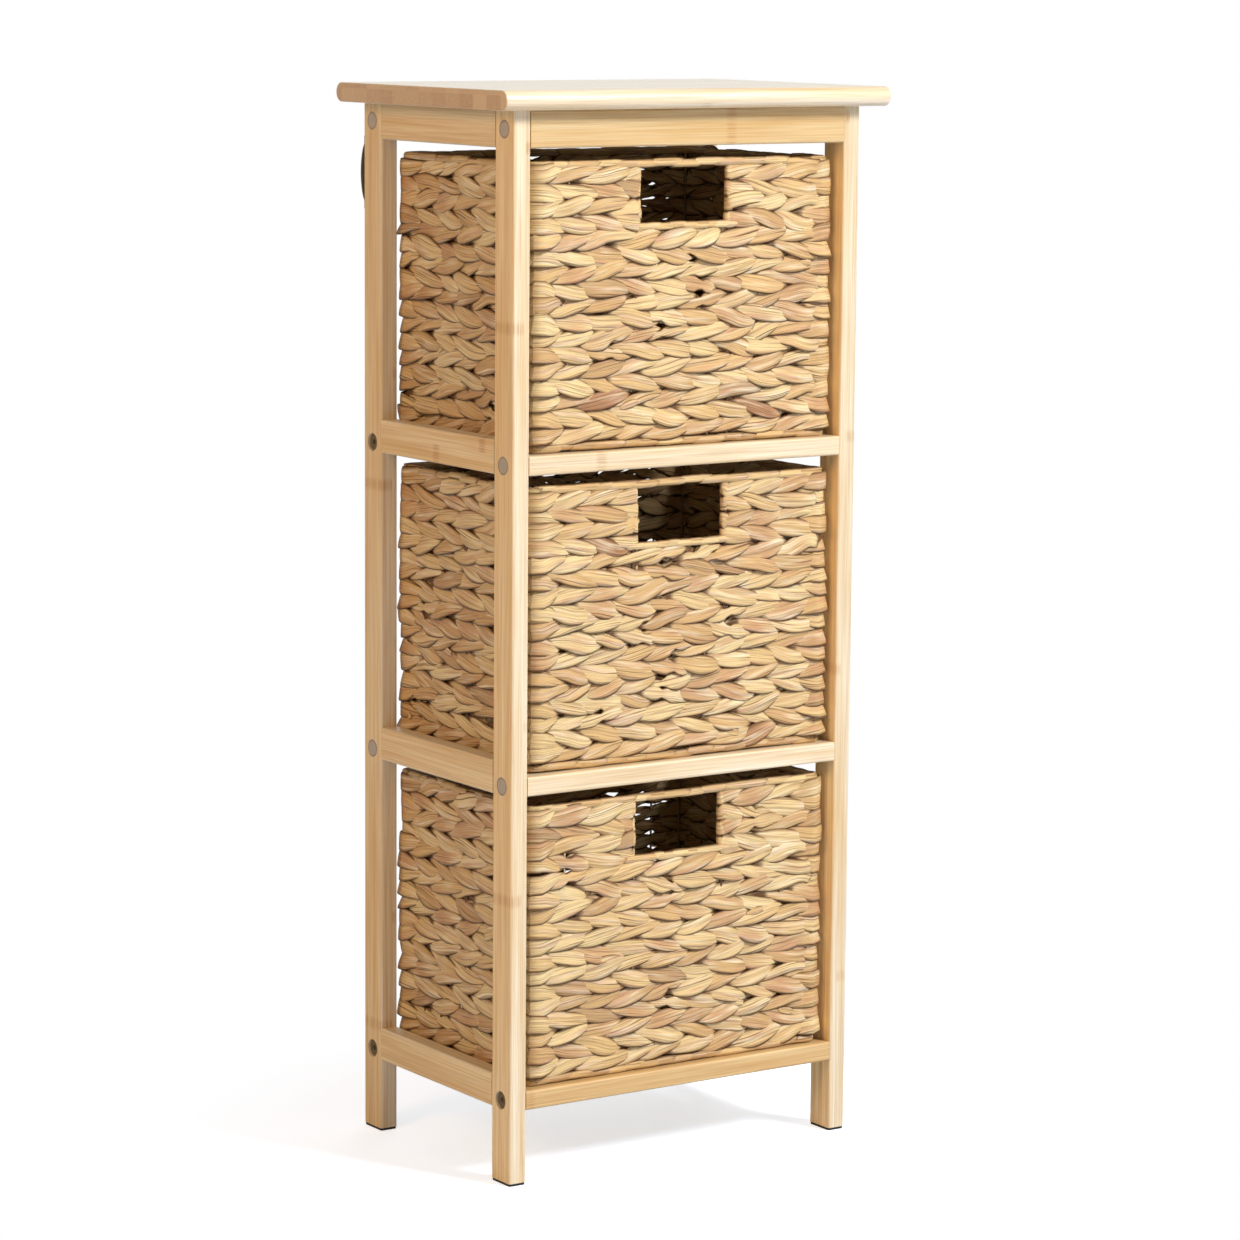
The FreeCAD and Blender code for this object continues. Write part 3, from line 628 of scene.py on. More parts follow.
class StrandTree:
    """Geometry tree that sweeps a flattened, creased leaf section along guide lines."""

    INPUTS = {"Guide Lines": "Geometry", "Width": "Float", "Thickness": "Float", "Fullness": "Float",
              "Crease Depth": "Float", "Crease Width": "Float", "Sides": "Int", "Seed": "Float",
              "Finish": "Material"}
    GUIDES = {"across": "FLOAT_VECTOR", "rise": "FLOAT_VECTOR", "wide": "FLOAT", "thick": "FLOAT",
              "run": "FLOAT", "kin": "FLOAT", "dusk": "FLOAT"}
    CREASE_STRETCH = 0.12

    def __init__(self) -> None:
        """Builds the tree."""
        self.tree, self.sockets = new_tree("leaf_strand", self.INPUTS, "Strands")
        self.fill()

    def fill(self) -> None:
        """Adds the nodes: sweep a round section, flatten and crease it, and store the leaf's coordinates."""
        tree = self.tree
        given = add_node(tree, "NodeGroupInput").outputs
        position = add_node(tree, "GeometryNodeInputPosition")
        curve = add_node(tree, "GeometryNodeMeshToCurve", {0: given["Guide Lines"]})
        centre = self.capture(curve, position)
        ring = add_node(tree, "GeometryNodeCurvePrimitiveCircle",
                        {"Resolution": given["Sides"], "Radius": 1.0})
        section = self.capture(ring, position)
        swept = add_node(tree, "GeometryNodeCurveToMesh",
                         {"Curve": centre, "Profile Curve": section, "Fill Caps": True})
        read = {}
        for name, kind in self.GUIDES.items():
            read[name] = add_node(tree, "GeometryNodeInputNamedAttribute", {"Name": name},
                                  data_type=kind).outputs[0]
        spot = add_node(tree, "ShaderNodeSeparateXYZ", {0: section.outputs[1]}).outputs
        reach = given["Width"]
        for factor in (0.5, read["wide"], spot[0]):
            reach = add_node(tree, "ShaderNodeMath", {0: reach, 1: factor}, operation="MULTIPLY")
        height = add_node(tree, "ShaderNodeMath", {0: spot[1]}, operation="ABSOLUTE")
        height = add_node(tree, "ShaderNodeMath", {0: height, 1: given["Fullness"]}, operation="POWER")
        way = add_node(tree, "ShaderNodeMath", {0: spot[1]}, operation="SIGN")
        creases = self.creases(given, read, reach)
        lift = given["Thickness"]
        for operation, other in (("MULTIPLY", 0.5), ("MULTIPLY", read["thick"]), ("ADD", creases),
                                 ("MULTIPLY", height), ("MULTIPLY", way)):
            lift = add_node(tree, "ShaderNodeMath", {0: lift, 1: other}, operation=operation)
        side = add_node(tree, "ShaderNodeVectorMath", {0: read["across"], "Scale": reach}, operation="SCALE")
        out = add_node(tree, "ShaderNodeVectorMath", {0: read["rise"], "Scale": lift}, operation="SCALE")
        offset = add_node(tree, "ShaderNodeVectorMath", {0: side, 1: out})
        goal = add_node(tree, "ShaderNodeVectorMath", {0: centre.outputs[1], 1: offset})
        shaped = add_node(tree, "GeometryNodeSetPosition", {"Geometry": swept, "Position": goal})
        leaf = add_node(tree, "ShaderNodeCombineXYZ", {0: read["run"], 1: reach, 2: read["kin"]})
        # Mask of the painted shade: high at the leaf's edges and where the guide lines ask for shade.
        brink = add_node(tree, "ShaderNodeMath", {0: spot[0]}, operation="ABSOLUTE")
        brink = add_node(tree, "ShaderNodeMath", {0: brink, 1: read["dusk"]}, operation="MAXIMUM")
        for name, value, kind in (("leaf", leaf, "FLOAT_VECTOR"), ("brink", brink, "FLOAT")):
            shaped = add_node(tree, "GeometryNodeStoreNamedAttribute",
                              {"Geometry": shaped, "Name": name, "Value": value}, data_type=kind,
                              domain="POINT")
        smooth = add_node(tree, "GeometryNodeSetShadeSmooth", {0: shaped})
        end_tree(tree, smooth, given["Finish"])

    def capture(self, geometry: Node, value: Node) -> Node:
        """Keeps a vector of a geometry's points for use further down the tree.

        Args:
            geometry: Node that gives the geometry.
            value: Node that gives the vector.

        Returns:
            The node that keeps it, as its second output.
        """
        node = add_node(self.tree, "GeometryNodeCaptureAttribute", {0: geometry}, domain="POINT")
        node.capture_items.new("VECTOR", "Kept")
        feed(self.tree, node, {"Kept": value})
        return node

    def creases(self, given: Any, read: dict[str, Socket], reach: Node) -> Node:
        """Works out the lengthwise creases of a leaf.

        Args:
            given: Outputs of the group's input node.
            read: Attributes of the guide lines by name.
            reach: Distance across the leaf.

        Returns:
            Height of the creases.
        """
        tree = self.tree
        fine, slow = (
            add_node(tree, "ShaderNodeMath", {0: value, 1: given["Crease Width"]}, operation="DIVIDE")
            for value in (reach, read["run"]))
        slow = add_node(tree, "ShaderNodeMath", {0: slow, 1: self.CREASE_STRETCH}, operation="MULTIPLY")
        spot = add_node(tree, "ShaderNodeCombineXYZ", {0: slow, 1: fine, 2: read["kin"]})
        noise = add_node(tree, "ShaderNodeTexNoise",
                         {"Vector": spot, "W": given["Seed"], "Scale": 1.0, "Detail": 1.0},
                         noise_dimensions="4D")
        even = add_node(tree, "ShaderNodeMath", {0: noise, 1: 0.5}, operation="SUBTRACT")
        return add_node(tree, "ShaderNodeMath", {0: even, 1: given["Crease Depth"]}, operation="MULTIPLY")

    def sweep(self, name: str, lines: GuideLines, sizes: dict[str, Any]) -> Piece:
        """Sweeps the section along guide lines and keeps the result as a plain mesh.

        Args:
            name: Name of the piece.
            lines: Guide lines.
            sizes: Inputs of the tree by name.

        Returns:
            The piece, at the origin.
        """
        piece = add_object(name, lines.mesh(f"{name}_lines"))
        plain_mesh(piece, self.tree, {self.sockets[label]: value for label, value in sizes.items()})
        for label in self.GUIDES:
            piece.data.attributes.remove(piece.data.attributes[label])
        return piece


@dataclass(frozen=True)
class WallLoop:
    """Middle line of a basket's wall: a rectangle with round corners, from the front left corner on."""

    centre: Pair
    half_x: float
    half_y: float
    corner: float
    steps: int = 25

    @property
    def front(self) -> float:
        """Length from the middle of one front corner to the other."""
        return 2 * (self.half_x - self.corner) + math.pi / 2 * self.corner

    @property
    def side(self) -> float:
        """Length from the middle of a front corner to the rear corner behind it."""
        return 2 * (self.half_y - self.corner) + math.pi / 2 * self.corner

    @property
    def length(self) -> float:
        """Length of the whole loop."""
        return 2 * (self.front + self.side)

    @property
    def corners(self) -> np.ndarray:
        """Places of the corners along the loop, the first one twice."""
        return np.cumsum([0.0, self.front, self.side, self.front, self.side])

    def at(self, run: np.ndarray) -> tuple[np.ndarray, np.ndarray]:
        """Finds points on the loop.

        Args:
            run: Distances along the loop.

        Returns:
            The points and the outward directions there, both level.
        """
        x = self.half_x - self.corner
        y = self.half_y - self.corner
        bends = [(-x, -y, 225, 270), (x, -y, 270, 360), (x, y, 360, 450), (-x, y, 450, 540),
                 (-x, -y, 540, 585)]
        turn = np.concatenate([np.radians(np.linspace(a, b, self.steps)) for _, _, a, b in bends])
        middle = np.repeat([(u, v) for u, v, _, _ in bends], self.steps, axis=0)
        path = middle + self.corner * np.stack([np.cos(turn), np.sin(turn)], axis=1)
        far = np.concatenate([[0.0], np.cumsum(np.linalg.norm(np.diff(path, axis=0), axis=1))])
        place = np.mod(run, self.length) * far[-1] / self.length
        angle = np.interp(place, far, turn)
        level = np.stack([np.interp(place, far, path[:, i]) + self.centre[i] for i in range(2)], axis=1)
        return level, np.stack([np.cos(angle), np.sin(angle)], axis=1)


@dataclass(frozen=True)
class LeafShape:
    """Shares that shape a strand along its turns: where it shows, its depth, climb, width and painted shade.
    """

    outside: np.ndarray
    swell: np.ndarray
    climb: np.ndarray
    depth: np.ndarray
    wide: np.ndarray
    dusk: np.ndarray


@dataclass
class BasketDrawer:
    """One woven basket: braided walls and floor, wrapped rim and base, and a hand hole.

    A field that ends in spread is the standard deviation of a random size.
    """

    # Shares where a strand turns round an edge of the hand hole, with a little painted shade.
    HOLE_BEND = {"wide": 0.85, "thick": 0.8, "tone": 0.62, "dusk": 0.3}
    ROW_STAKE = {"wide": 0.14, "thick": 0.7, "tone": 0.8}
    CORNER_STAKE = {"wide": 0.17, "thick": 0.8, "tone": 0.2}
    body: str
    seed: int
    strands: StrandTree
    leaf: Material
    wall: float = 8 * MM
    corner: float = 3 * MM
    front_bulge: float = 3.8 * MM
    rear_bulge: float = 2.8 * MM
    bulge_range: Pair = (0.7, 1.15)
    bend_reach: float = 11 * MM
    bend_width: float = 1.1
    bend_calm: float = 0.75
    rows: int = 17
    base_gap: float = 0.3 * MM
    rim_lap: float = 1.6 * MM
    front_leaves: int = 9
    side_leaves: int = 6
    hole_leaves: int = 3
    leaf_width: float = 13.6 * MM
    leaf_thickness: float = 1.9 * MM
    inner_thickness: float = 0.8
    fullness: float = 0.6
    crease_width: float = 2.8 * MM
    outer_crease: float = 0.9 * MM
    inner_crease: float = 0.6 * MM
    swing: float = 2.4 * MM
    climb: float = 3.5 * MM
    lean: float = 0.17
    lean_spread: float = 0.13
    push_spread: float = 0.6 * MM
    shift_spread: float = 0.9 * MM
    width_spread: float = 0.14
    climb_spread: float = 0.3
    drift_spread: float = 0.48
    tone: float = 0.61
    tone_spread: float = 0.2
    straw_range: Pair = (0.12, 0.86)
    rust_range: Pair = (0.92, 1.0)
    grey_range: Pair = (0.05, 0.2)
    rust_share: float = 0.004
    grey_share: float = 0.02
    end_shade: float = 0.12
    end_thickness: float = 0.75
    show_share: float = 0.88
    lap: float = 1.6
    lap_fullness: float = 0.6
    taper: float = 1.15
    taper_fullness: float = 0.8
    tip_width: float = 0.24
    full_width: float = 0.79
    back_width: float = 0.4
    back_depth: float = -0.3
    # Painted shade along a leaf: none at its middle share, rising towards its tucked ends.
    shade_middle: float = 0.55
    shade_power: int = 3
    sway_size: float = 0.7 * MM
    sway_counts: tuple[int, ...] = (7, 12, 19)
    sway_paces: Pair = (0.2, 0.5)
    pinch_count: int = 150
    pinch_length: float = 4.5 * MM
    pinch_share: float = 0.55
    pinch_rear: float = 0.88
    pinch_reach: float = 0.6
    pinch_lowest: int = 2
    pinch_seed: int = 100
    hole_inset: float = 3 * MM
    hole_margin: float = 6 * MM
    hole_bows: Pair = (1.1, 1.6)
    hole_points: int = 5
    stake_spacing: float = 60 * MM
    stake_inset: float = 5.5 * MM
    stake_start: float = 0.45
    stake_points: int = 12
    loose_ends: int = 8
    loose_free_rows: int = 4
    loose_levels: Pair = (0.6, 1.0)
    loose_lengths: Pair = (9 * MM, 15 * MM)
    loose_tilt: float = 0.35
    loose_stand: float = 2.2 * MM
    loose_lift: float = 1.9 * MM
    loose_widths: tuple[float, ...] = (0.2, 0.42, 0.46, 0.3)
    loose_thickness: float = 0.4
    loose_tones: Pair = (0.45, 0.85)
    floor_lift: float = 2.8 * MM
    floor_inset: float = 2 * MM
    floor_swing: float = 1.4 * MM
    floor_thickness: float = 0.5
    floor_swell: float = 0.15
    rim_pitch: float = 24 * MM
    rim_tone: float = 0.6
    base_pitch: float = 17 * MM
    base_tone: float = 0.36
    wrap_gaps: Pair = (0.6, 1.35)
    wrap_step: float = 4 * MM
    wrap_laps: Pair = (3 * MM, 4 * MM)
    wrap_end: float = 0.84
    wrap_swell: float = 0.17
    wrap_thickness: float = 0.94
    wrap_creases: Pair = (0.8 * MM, 1.6 * MM)
    wrap_size_spread: float = 0.03
    wrap_ripple_spread: float = 0.025
    wrap_out_spread: float = 0.4 * MM
    wrap_height_spread: float = 0.45 * MM
    wrap_tone_spread: float = 0.12
    wrap_tones: Pair = (0.1, 0.85)
    wrap_tuck_shade: float = 0.85
    wrap_shear: Pair = (0.7, 1.3)
    bind_shear: Pair = (0.5, 1.0)
    bind_pitch: Pair = (6 * MM, 13 * MM)
    bind_points: int = 5
    bind_laps: Pair = (1.5 * MM, 2.5 * MM)
    bind_overhang: float = 1 * MM
    bind_end: float = 2 * MM
    bind_swell: float = 0.2
    bind_thickness: float = 0.95
    bind_creases: Pair = (0.7 * MM, 1.4 * MM)
    bind_out_spread: float = 0.2 * MM
    bind_height_spread: float = 0.25 * MM
    bind_tone: float = 0.68
    bind_tone_spread: float = 0.1
    bind_tones: Pair = (0.4, 0.88)
    bar: float = 6 * MM
    steps: int = 8
    sides: int = 10
    inner_steps: int = 6
    inner_sides: int = 8
    wrap_sides: int = 14

    def __post_init__(self) -> None:
        """Reads the places of the basket's pieces from the frame and draws its waves and pinholes."""
        self.rng = np.random.default_rng(self.seed)
        low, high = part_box(f"{self.body}_weave")
        self.low, self.high = np.array(low), np.array(high)
        self.rim_box = [np.array(c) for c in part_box(f"{self.body}_rim")]
        self.base_box = [np.array(c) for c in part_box(f"{self.body}_base_border")]
        self.hole_box = [np.array(c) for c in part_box(f"{self.body}_hand_hole_binding")]
        centre = (self.low + self.high) / 2
        self.loop = WallLoop((float(centre[0]), float(centre[1])),
                             float(self.high[0] - self.low[0]) / 2 - self.wall / 2,
                             float(self.high[1] - self.low[1]) / 2 - self.wall / 2, self.corner)
        self.bottom = float(self.base_box[1][2]) + self.base_gap
        self.top = float(self.rim_box[0][2]) + self.rim_lap
        self.row_height = (self.top - self.bottom) / self.rows
        self.leaves = np.array([0, self.front_leaves, self.side_leaves, self.front_leaves, self.side_leaves])
        self.turns = np.cumsum(self.leaves) * math.pi
        self.waves = [(count, self.rng.uniform(0.0, 2 * math.pi), self.rng.uniform(*self.sway_paces))
                      for count in self.sway_counts]
        self.hole_foot = float(self.hole_box[0][2])
        self.hole_half = float(self.hole_box[1][0] - self.hole_box[0][0]) / 2 - self.hole_inset
        spread = np.random.default_rng(self.seed + self.pinch_seed)
        rear = spread.uniform(self.loop.corners[2], self.loop.corners[3], self.pinch_count)
        around = spread.uniform(0.0, self.loop.length, self.pinch_count)
        self.pinch_places = np.where(spread.random(self.pinch_count) < self.pinch_rear, rear, around)
        rows = spread.integers(self.pinch_lowest, self.rows, self.pinch_count)
        self.pinch_levels = self.bottom + rows * self.row_height

    def build(self) -> None:
        """Builds all pieces of the basket and lets them ride on its body."""
        self.keep(self.braid_walls(), "weave")
        self.keep(self.line_walls())
        self.keep(self.braid_floor())
        for node, box, pitch, tone in (("rim", self.rim_box, self.rim_pitch, self.rim_tone),
                                       ("base_border", self.base_box, self.base_pitch, self.base_tone)):
            self.keep(self.wrap_ring(node, box, pitch, tone), node)
        self.keep(self.bind_hole(), "hand_hole_binding")

    def keep(self, piece: Piece, *stands_for: str) -> None:
        """Lets a piece ride on the basket's body.

        Args:
            piece: The finished piece.
            stands_for: Plain solids that it replaces, without the basket's name.
        """
        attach(piece, self.body)
        if stands_for:
            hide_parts(*[f"{self.body}_{node}" for node in stands_for])
        LOG.info("%s: %d faces", piece.name, len(piece.data.polygons))

    def sweep(self, name: str, lines: GuideLines, sizes: dict[str, Any]) -> Piece:
        """Sweeps leaves along guide lines.

        Args:
            name: Name of the piece, without the basket's name.
            lines: Guide lines.
            sizes: Sizes that differ from the walls' own, by name.

        Returns:
            The piece.
        """
        usual = {"Width": self.leaf_width, "Thickness": self.leaf_thickness, "Fullness": self.fullness,
                 "Crease Depth": self.inner_crease, "Crease Width": self.crease_width, "Sides": self.sides,
                 "Seed": float(self.seed), "Finish": self.leaf}
        return self.strands.sweep(f"{self.body}_{name}", lines, usual | sizes)

    def levels(self) -> list[tuple[float, Slant, bool]]:
        """Lists the rows of the walls from the bottom up.

        Returns:
            Middle of each row, the way its leaves lean, and whether the hand hole cuts it.
        """
        heights = [self.bottom + (row + 0.5) * self.row_height for row in range(self.rows)]
        return [(height, Slant.FALLING if row % 2 else Slant.RISING, height > self.hole_foot)
                for row, height in enumerate(heights)]

    def tones(self, count: int) -> np.ndarray:
        """Draws a tone for each leaf: most are straw, some grey or pinkish, a few rust red.

        Args:
            count: Number of leaves.

        Returns:
            The tones, from zero to one.
        """
        tone = np.clip(self.rng.normal(self.tone, self.tone_spread, count), *self.straw_range)
        odd = self.rng.random(count)
        tone = np.where(odd < self.rust_share, self.rng.uniform(*self.rust_range, count), tone)
        return np.where(odd > 1 - self.grey_share, self.rng.uniform(*self.grey_range, count), tone)

    def leaf_numbers(self, phase: np.ndarray) -> np.ndarray:
        """Numbers the leaves of a strand from zero, one for each turn of its phase."""
        turn = np.floor(phase / (2 * math.pi) + 0.5).astype(int)
        return turn - turn.min()

    def twist(self, run: np.ndarray, phase: np.ndarray, height: float, slant: Slant,
              face: Face = Face.OUTER) -> dict[str, np.ndarray]:
        """Twists a strand about its row: out over one face of the wall, then back into the middle.

        Args:
            run: Distances along the loop.
            phase: Phase of the twist; at even multiples of pi the strand is on the face.
            height: Middle of the row.
            slant: Way in which the leaves lean.
            face: Face of the wall that the strand covers.

        Returns:
            Points of the line with the section's shares and tone.
        """
        turn = self.leaf_numbers(phase)
        count = int(turn.max()) + 1
        show = self.shape(phase)
        away = np.abs(np.mod(run, self.loop.length)[:, None] - self.loop.corners[None, :])
        bends = np.exp(-(away / self.bend_reach) ** 2)
        bend = bends.max(axis=1)
        front = np.where(show.outside, show.swell, 0.0)
        push = self.rng.normal(0.0, self.push_spread, count)[turn] * front
        if face is Face.OUTER:
            bulges = np.array([self.front_bulge] * 2 + [self.rear_bulge] * 2 + [self.front_bulge])
            push = push + bends @ bulges * self.rng.uniform(*self.bulge_range)
        shift = self.rng.normal(0.0, self.shift_spread, count)[turn] * front
        broad = 1 + self.rng.normal(0.0, self.width_spread, count)[turn] * front
        steep = 1 + self.rng.normal(0.0, self.climb_spread, count)[turn] * np.sqrt(front)
        level, outward = self.loop.at(run)
        line = np.empty((len(run), 3))
        line[:, :2] = level + outward * (face.value * (self.swing * show.depth + push))[:, None]
        line[:, 2] = height + slant.value * self.climb * show.climb * steep * (1 - self.bend_calm * bend)
        line[:, 2] += shift + self.sway(run, height)
        wide = show.wide * broad * self.pinch(run, height)
        wide = wide + np.where(show.outside, bend, 0.0) * np.clip(self.bend_width - wide, 0.0, None)
        thick = self.end_thickness + (1 - self.end_thickness) * front
        tone = np.clip(self.tones(count)[turn] + self.end_shade * (front - 0.5), 0.0, 1.0)
        roll = face.value * (self.rng.normal(0.0, self.lean_spread, count)[turn] - self.lean) * front
        return {"line": line, "wide": wide, "thick": thick, "tone": tone, "dusk": show.dusk, "roll": roll}

    def sway(self, run: np.ndarray, height: float) -> np.ndarray:
        """Lets the rows wander up and down a little, neighbours together.

        Args:
            run: Distances along the loop.
            height: Middle of the row.

        Returns:
            How far the row is lifted at each distance.
        """
        turn = 2 * math.pi * run / self.loop.length
        lag = (height - self.bottom) / self.row_height
        return sum(self.sway_size / (1 + i) * np.sin(count * turn + start + pace * lag)
                   for i, (count, start, pace) in enumerate(self.waves))

    def pinch(self, run: np.ndarray, height: float) -> np.ndarray:
        """Narrows the leaves where two rows leave a pinhole between them.

        Args:
            run: Distances along the loop.
            height: Middle of the row.

        Returns:
            Share of its width that the leaf keeps at each distance.
        """
        beside = np.abs(self.pinch_levels - height) < self.row_height * self.pinch_reach
        away = np.mod(run, self.loop.length)[:, None] - self.pinch_places[beside][None, :]
        near = np.exp(-(away / self.pinch_length) ** 2).sum(axis=1)
        return 1 - self.pinch_share * np.clip(near, 0.0, 1.0)

    def shape(self, phase: np.ndarray) -> LeafShape:
        """Shapes the leaves of a strand that shows for more than half of each turn.

        Args:
            phase: Phase of the twist; at even multiples of pi the strand is outside.

        Returns:
            Shares of the strand's depth, climb, width and painted shade.
        """
        turn = np.mod(phase + math.pi, 2 * math.pi) - math.pi
        hold = self.show_share * math.pi
        outside = np.abs(turn) <= hold
        part = np.where(outside, np.abs(turn) / hold, (np.abs(turn) - hold) / (math.pi - hold))
        quarter = part * math.pi / 2
        swell = np.clip(np.where(outside, np.cos(quarter), np.sin(quarter)), 0.0, 1.0)
        climb = np.sign(turn) * np.where(outside, np.sin(quarter), np.cos(quarter))
        share = np.clip((turn / hold + 1) / 2, 0.0, 1.0)
        lapped = np.clip(np.sin(math.pi * share ** self.lap), 0.0, 1.0)
        depth = np.where(outside, lapped ** self.lap_fullness, self.back_depth * swell)
        taper = np.clip(np.sin(math.pi * share ** self.taper), 0.0, 1.0) ** self.taper_fullness
        wide = self.tip_width + np.where(outside, self.full_width * taper, self.back_width * swell)
        # Painted shade: darker towards each leaf's ends, and full where the strand runs inside the wall.
        tuck = np.clip(np.abs(share - self.shade_middle) / (1 - self.shade_middle), 0.0, 1.0)
        return LeafShape(outside, swell, climb, depth, wide, np.where(outside, tuck ** self.shade_power, 1.0))

    def braid_walls(self) -> Piece:
        """Braids the walls row by row, with the rows beside the hand hole looped round its edges.

        Returns:
            The outer face of the walls, with stakes and loose ends.
        """
        lines = GuideLines()
        run = np.linspace(0.0, self.loop.length, int(self.leaves.sum()) * self.steps, endpoint=False)
        for height, slant, holed in self.levels():
            if holed:
                lines.add(up=UP, closed=True, **self.looped_row(height, slant))
                continue
            for start in (0.0, math.pi):
                phase = start + self.wander(run, self.loop.corners, self.turns)
                lines.add(up=UP, closed=True, **self.twist(run, phase, height, slant))
        self.add_stakes(lines)
        self.add_loose_ends(lines)
        return self.sweep("braided_walls", lines, {"Crease Depth": self.outer_crease})

    def wander(self, run: np.ndarray, knots: np.ndarray, phases: np.ndarray) -> np.ndarray:
        """Finds the phase along a row, with crossings that are not quite evenly spaced.

        Args:
            run: Distances along the row.
            knots: Distances at which the phase is known.
            phases: Phases there.

        Returns:
            Phase at each distance.
        """
        phase = np.interp(run, knots, phases)
        count = int(round((phases[-1] - phases[0]) / math.pi))
        drift = self.rng.normal(0.0, self.drift_spread, count + 1)
        drift[np.round((phases - phases[0]) / math.pi).astype(int)] = 0.0
        return phase + np.interp(phase, np.linspace(phases[0], phases[-1], count + 1), drift)

    def looped_row(self, height: float, slant: Slant) -> dict[str, np.ndarray]:
        """Lays the strand of a row that stops at the hand hole, there and back as one closed line.

        Args:
            height: Middle of the row.
            slant: Way in which the leaves lean.

        Returns:
            The strand's line and shares.
        """
        left = self.loop.front / 2 - self.hole_half
        right = self.loop.front / 2 + self.hole_half
        leaves = np.array([0, self.hole_leaves, self.side_leaves, self.front_leaves, self.side_leaves,
                           self.hole_leaves])
        knots = np.concatenate([[right], self.loop.corners[1:], [self.loop.length + left]])
        run = np.linspace(right, self.loop.length + left, int(leaves.sum()) * self.steps)
        phase = self.wander(run, knots, np.cumsum(leaves) * math.pi)
        there = self.twist(run, phase, height, slant)
        back = self.twist(run, phase + math.pi, height, slant)
        ends = [self.hole_turn(place, way, height) for place, way in ((left, 1.0), (right, -1.0))]
        parts = {"line": (ends[0], back["line"][::-1], ends[1], there["line"])}
        for name, share in self.HOLE_BEND.items():
            bend = np.full(len(ends[0]), share)
            parts[name] = (bend, back[name][::-1], bend, there[name])
        return {name: np.concatenate(rows) for name, rows in parts.items()}

    def hole_turn(self, place: float, way: float, height: float) -> np.ndarray:
        """Turns a strand back round an edge of the hand hole, from one face of the wall to the other.

        Args:
            place: Distance of the edge along the loop.
            way: Way into the hole along X.
            height: Middle of the row.

        Returns:
            Points of the turn.
        """
        arc = np.linspace(0.0, math.pi, self.hole_points + 2)[1:-1]
        level, outward = self.loop.at(np.array([place]))
        bow = self.swing * self.rng.uniform(*self.hole_bows)
        turn = np.empty((len(arc), 3))
        turn[:, 0] = level[0, 0] + way * bow * np.sin(arc)
        turn[:, 1] = level[0, 1] - outward[0, 1] * self.swing * np.cos(arc)
        turn[:, 2] = height
        return turn

    def line_walls(self) -> Piece:
        """Braids the inner face of the walls, which shows when the basket is pulled out.

        Returns:
            The inner face of the walls.
        """
        lines = GuideLines()
        middle = self.loop.front / 2
        for height, outer, holed in self.levels():
            slant = Slant.FALLING if outer is Slant.RISING else Slant.RISING
            first = middle + self.hole_half if holed else 0.0
            last = self.loop.length + middle - self.hole_half if holed else self.loop.length
            run = np.linspace(first, last, int(self.leaves.sum()) * self.inner_steps, endpoint=holed)
            phase = self.wander(np.mod(run, self.loop.length), self.loop.corners, self.turns)
            phase = phase + np.where(run >= self.loop.length, self.turns[-1], 0.0)
            for start in (0.0, math.pi):
                spun = self.twist(run, phase + start, height, slant, Face.INNER)
                lines.add(up=UP, closed=not holed, **spun)
        return self.sweep("inner_weave", lines, {"Thickness": self.leaf_thickness * self.inner_thickness,
                                                 "Sides": self.inner_sides})

    def add_stakes(self, lines: GuideLines) -> None:
        """Adds the thin upright stakes that show between the rows, and one inside each corner.

        Stakes under the hand hole end at its lower edge.

        Args:
            lines: Guide lines of the walls.
        """
        count = int(self.loop.length / self.stake_spacing)
        stakes = [(run, 0.0, self.ROW_STAKE)
                  for run in (np.arange(count) + self.stake_start) * self.loop.length / count]
        stakes += [(run, self.stake_inset, self.CORNER_STAKE) for run in self.loop.corners[:-1]]
        for run, inset, shares in stakes:
            level, outward = self.loop.at(np.array([run]))
            beside = abs(level[0, 0] - self.loop.centre[0]) < self.hole_half + self.hole_margin
            top = self.hole_foot if beside and outward[0, 1] < -0.9 else self.top
            line = np.empty((self.stake_points, 3))
            line[:, :2] = level[0] - outward[0] * inset
            line[:, 2] = np.linspace(self.bottom, top, self.stake_points)
            lines.add(line, np.array([-outward[0, 1], outward[0, 0], 0.0]), **shares)

    def add_loose_ends(self, lines: GuideLines) -> None:
        """Adds the cut ends of leaves that are tucked in between the rows.

        Args:
            lines: Guide lines of the walls.
        """
        share = np.linspace(0.0, 1.0, len(self.loose_widths))
        for _ in range(self.loose_ends):
            run = self.rng.uniform(0.0, self.loop.length)
            row = int(self.rng.integers(0, self.rows - self.loose_free_rows))
            length = self.rng.uniform(*self.loose_lengths)
            tilt = self.rng.uniform(-self.loose_tilt, self.loose_tilt)
            foot = self.bottom + (row + self.rng.uniform(*self.loose_levels)) * self.row_height
            level, outward = self.loop.at(run + share * length)
            line = np.empty((len(share), 3))
            line[:, :2] = level + outward * (self.loose_stand + self.loose_lift * share)[:, None]
            line[:, 2] = foot + tilt * share * length
            lines.add(line, UP, wide=np.array(self.loose_widths), thick=self.loose_thickness,
                      tone=self.rng.uniform(*self.loose_tones))

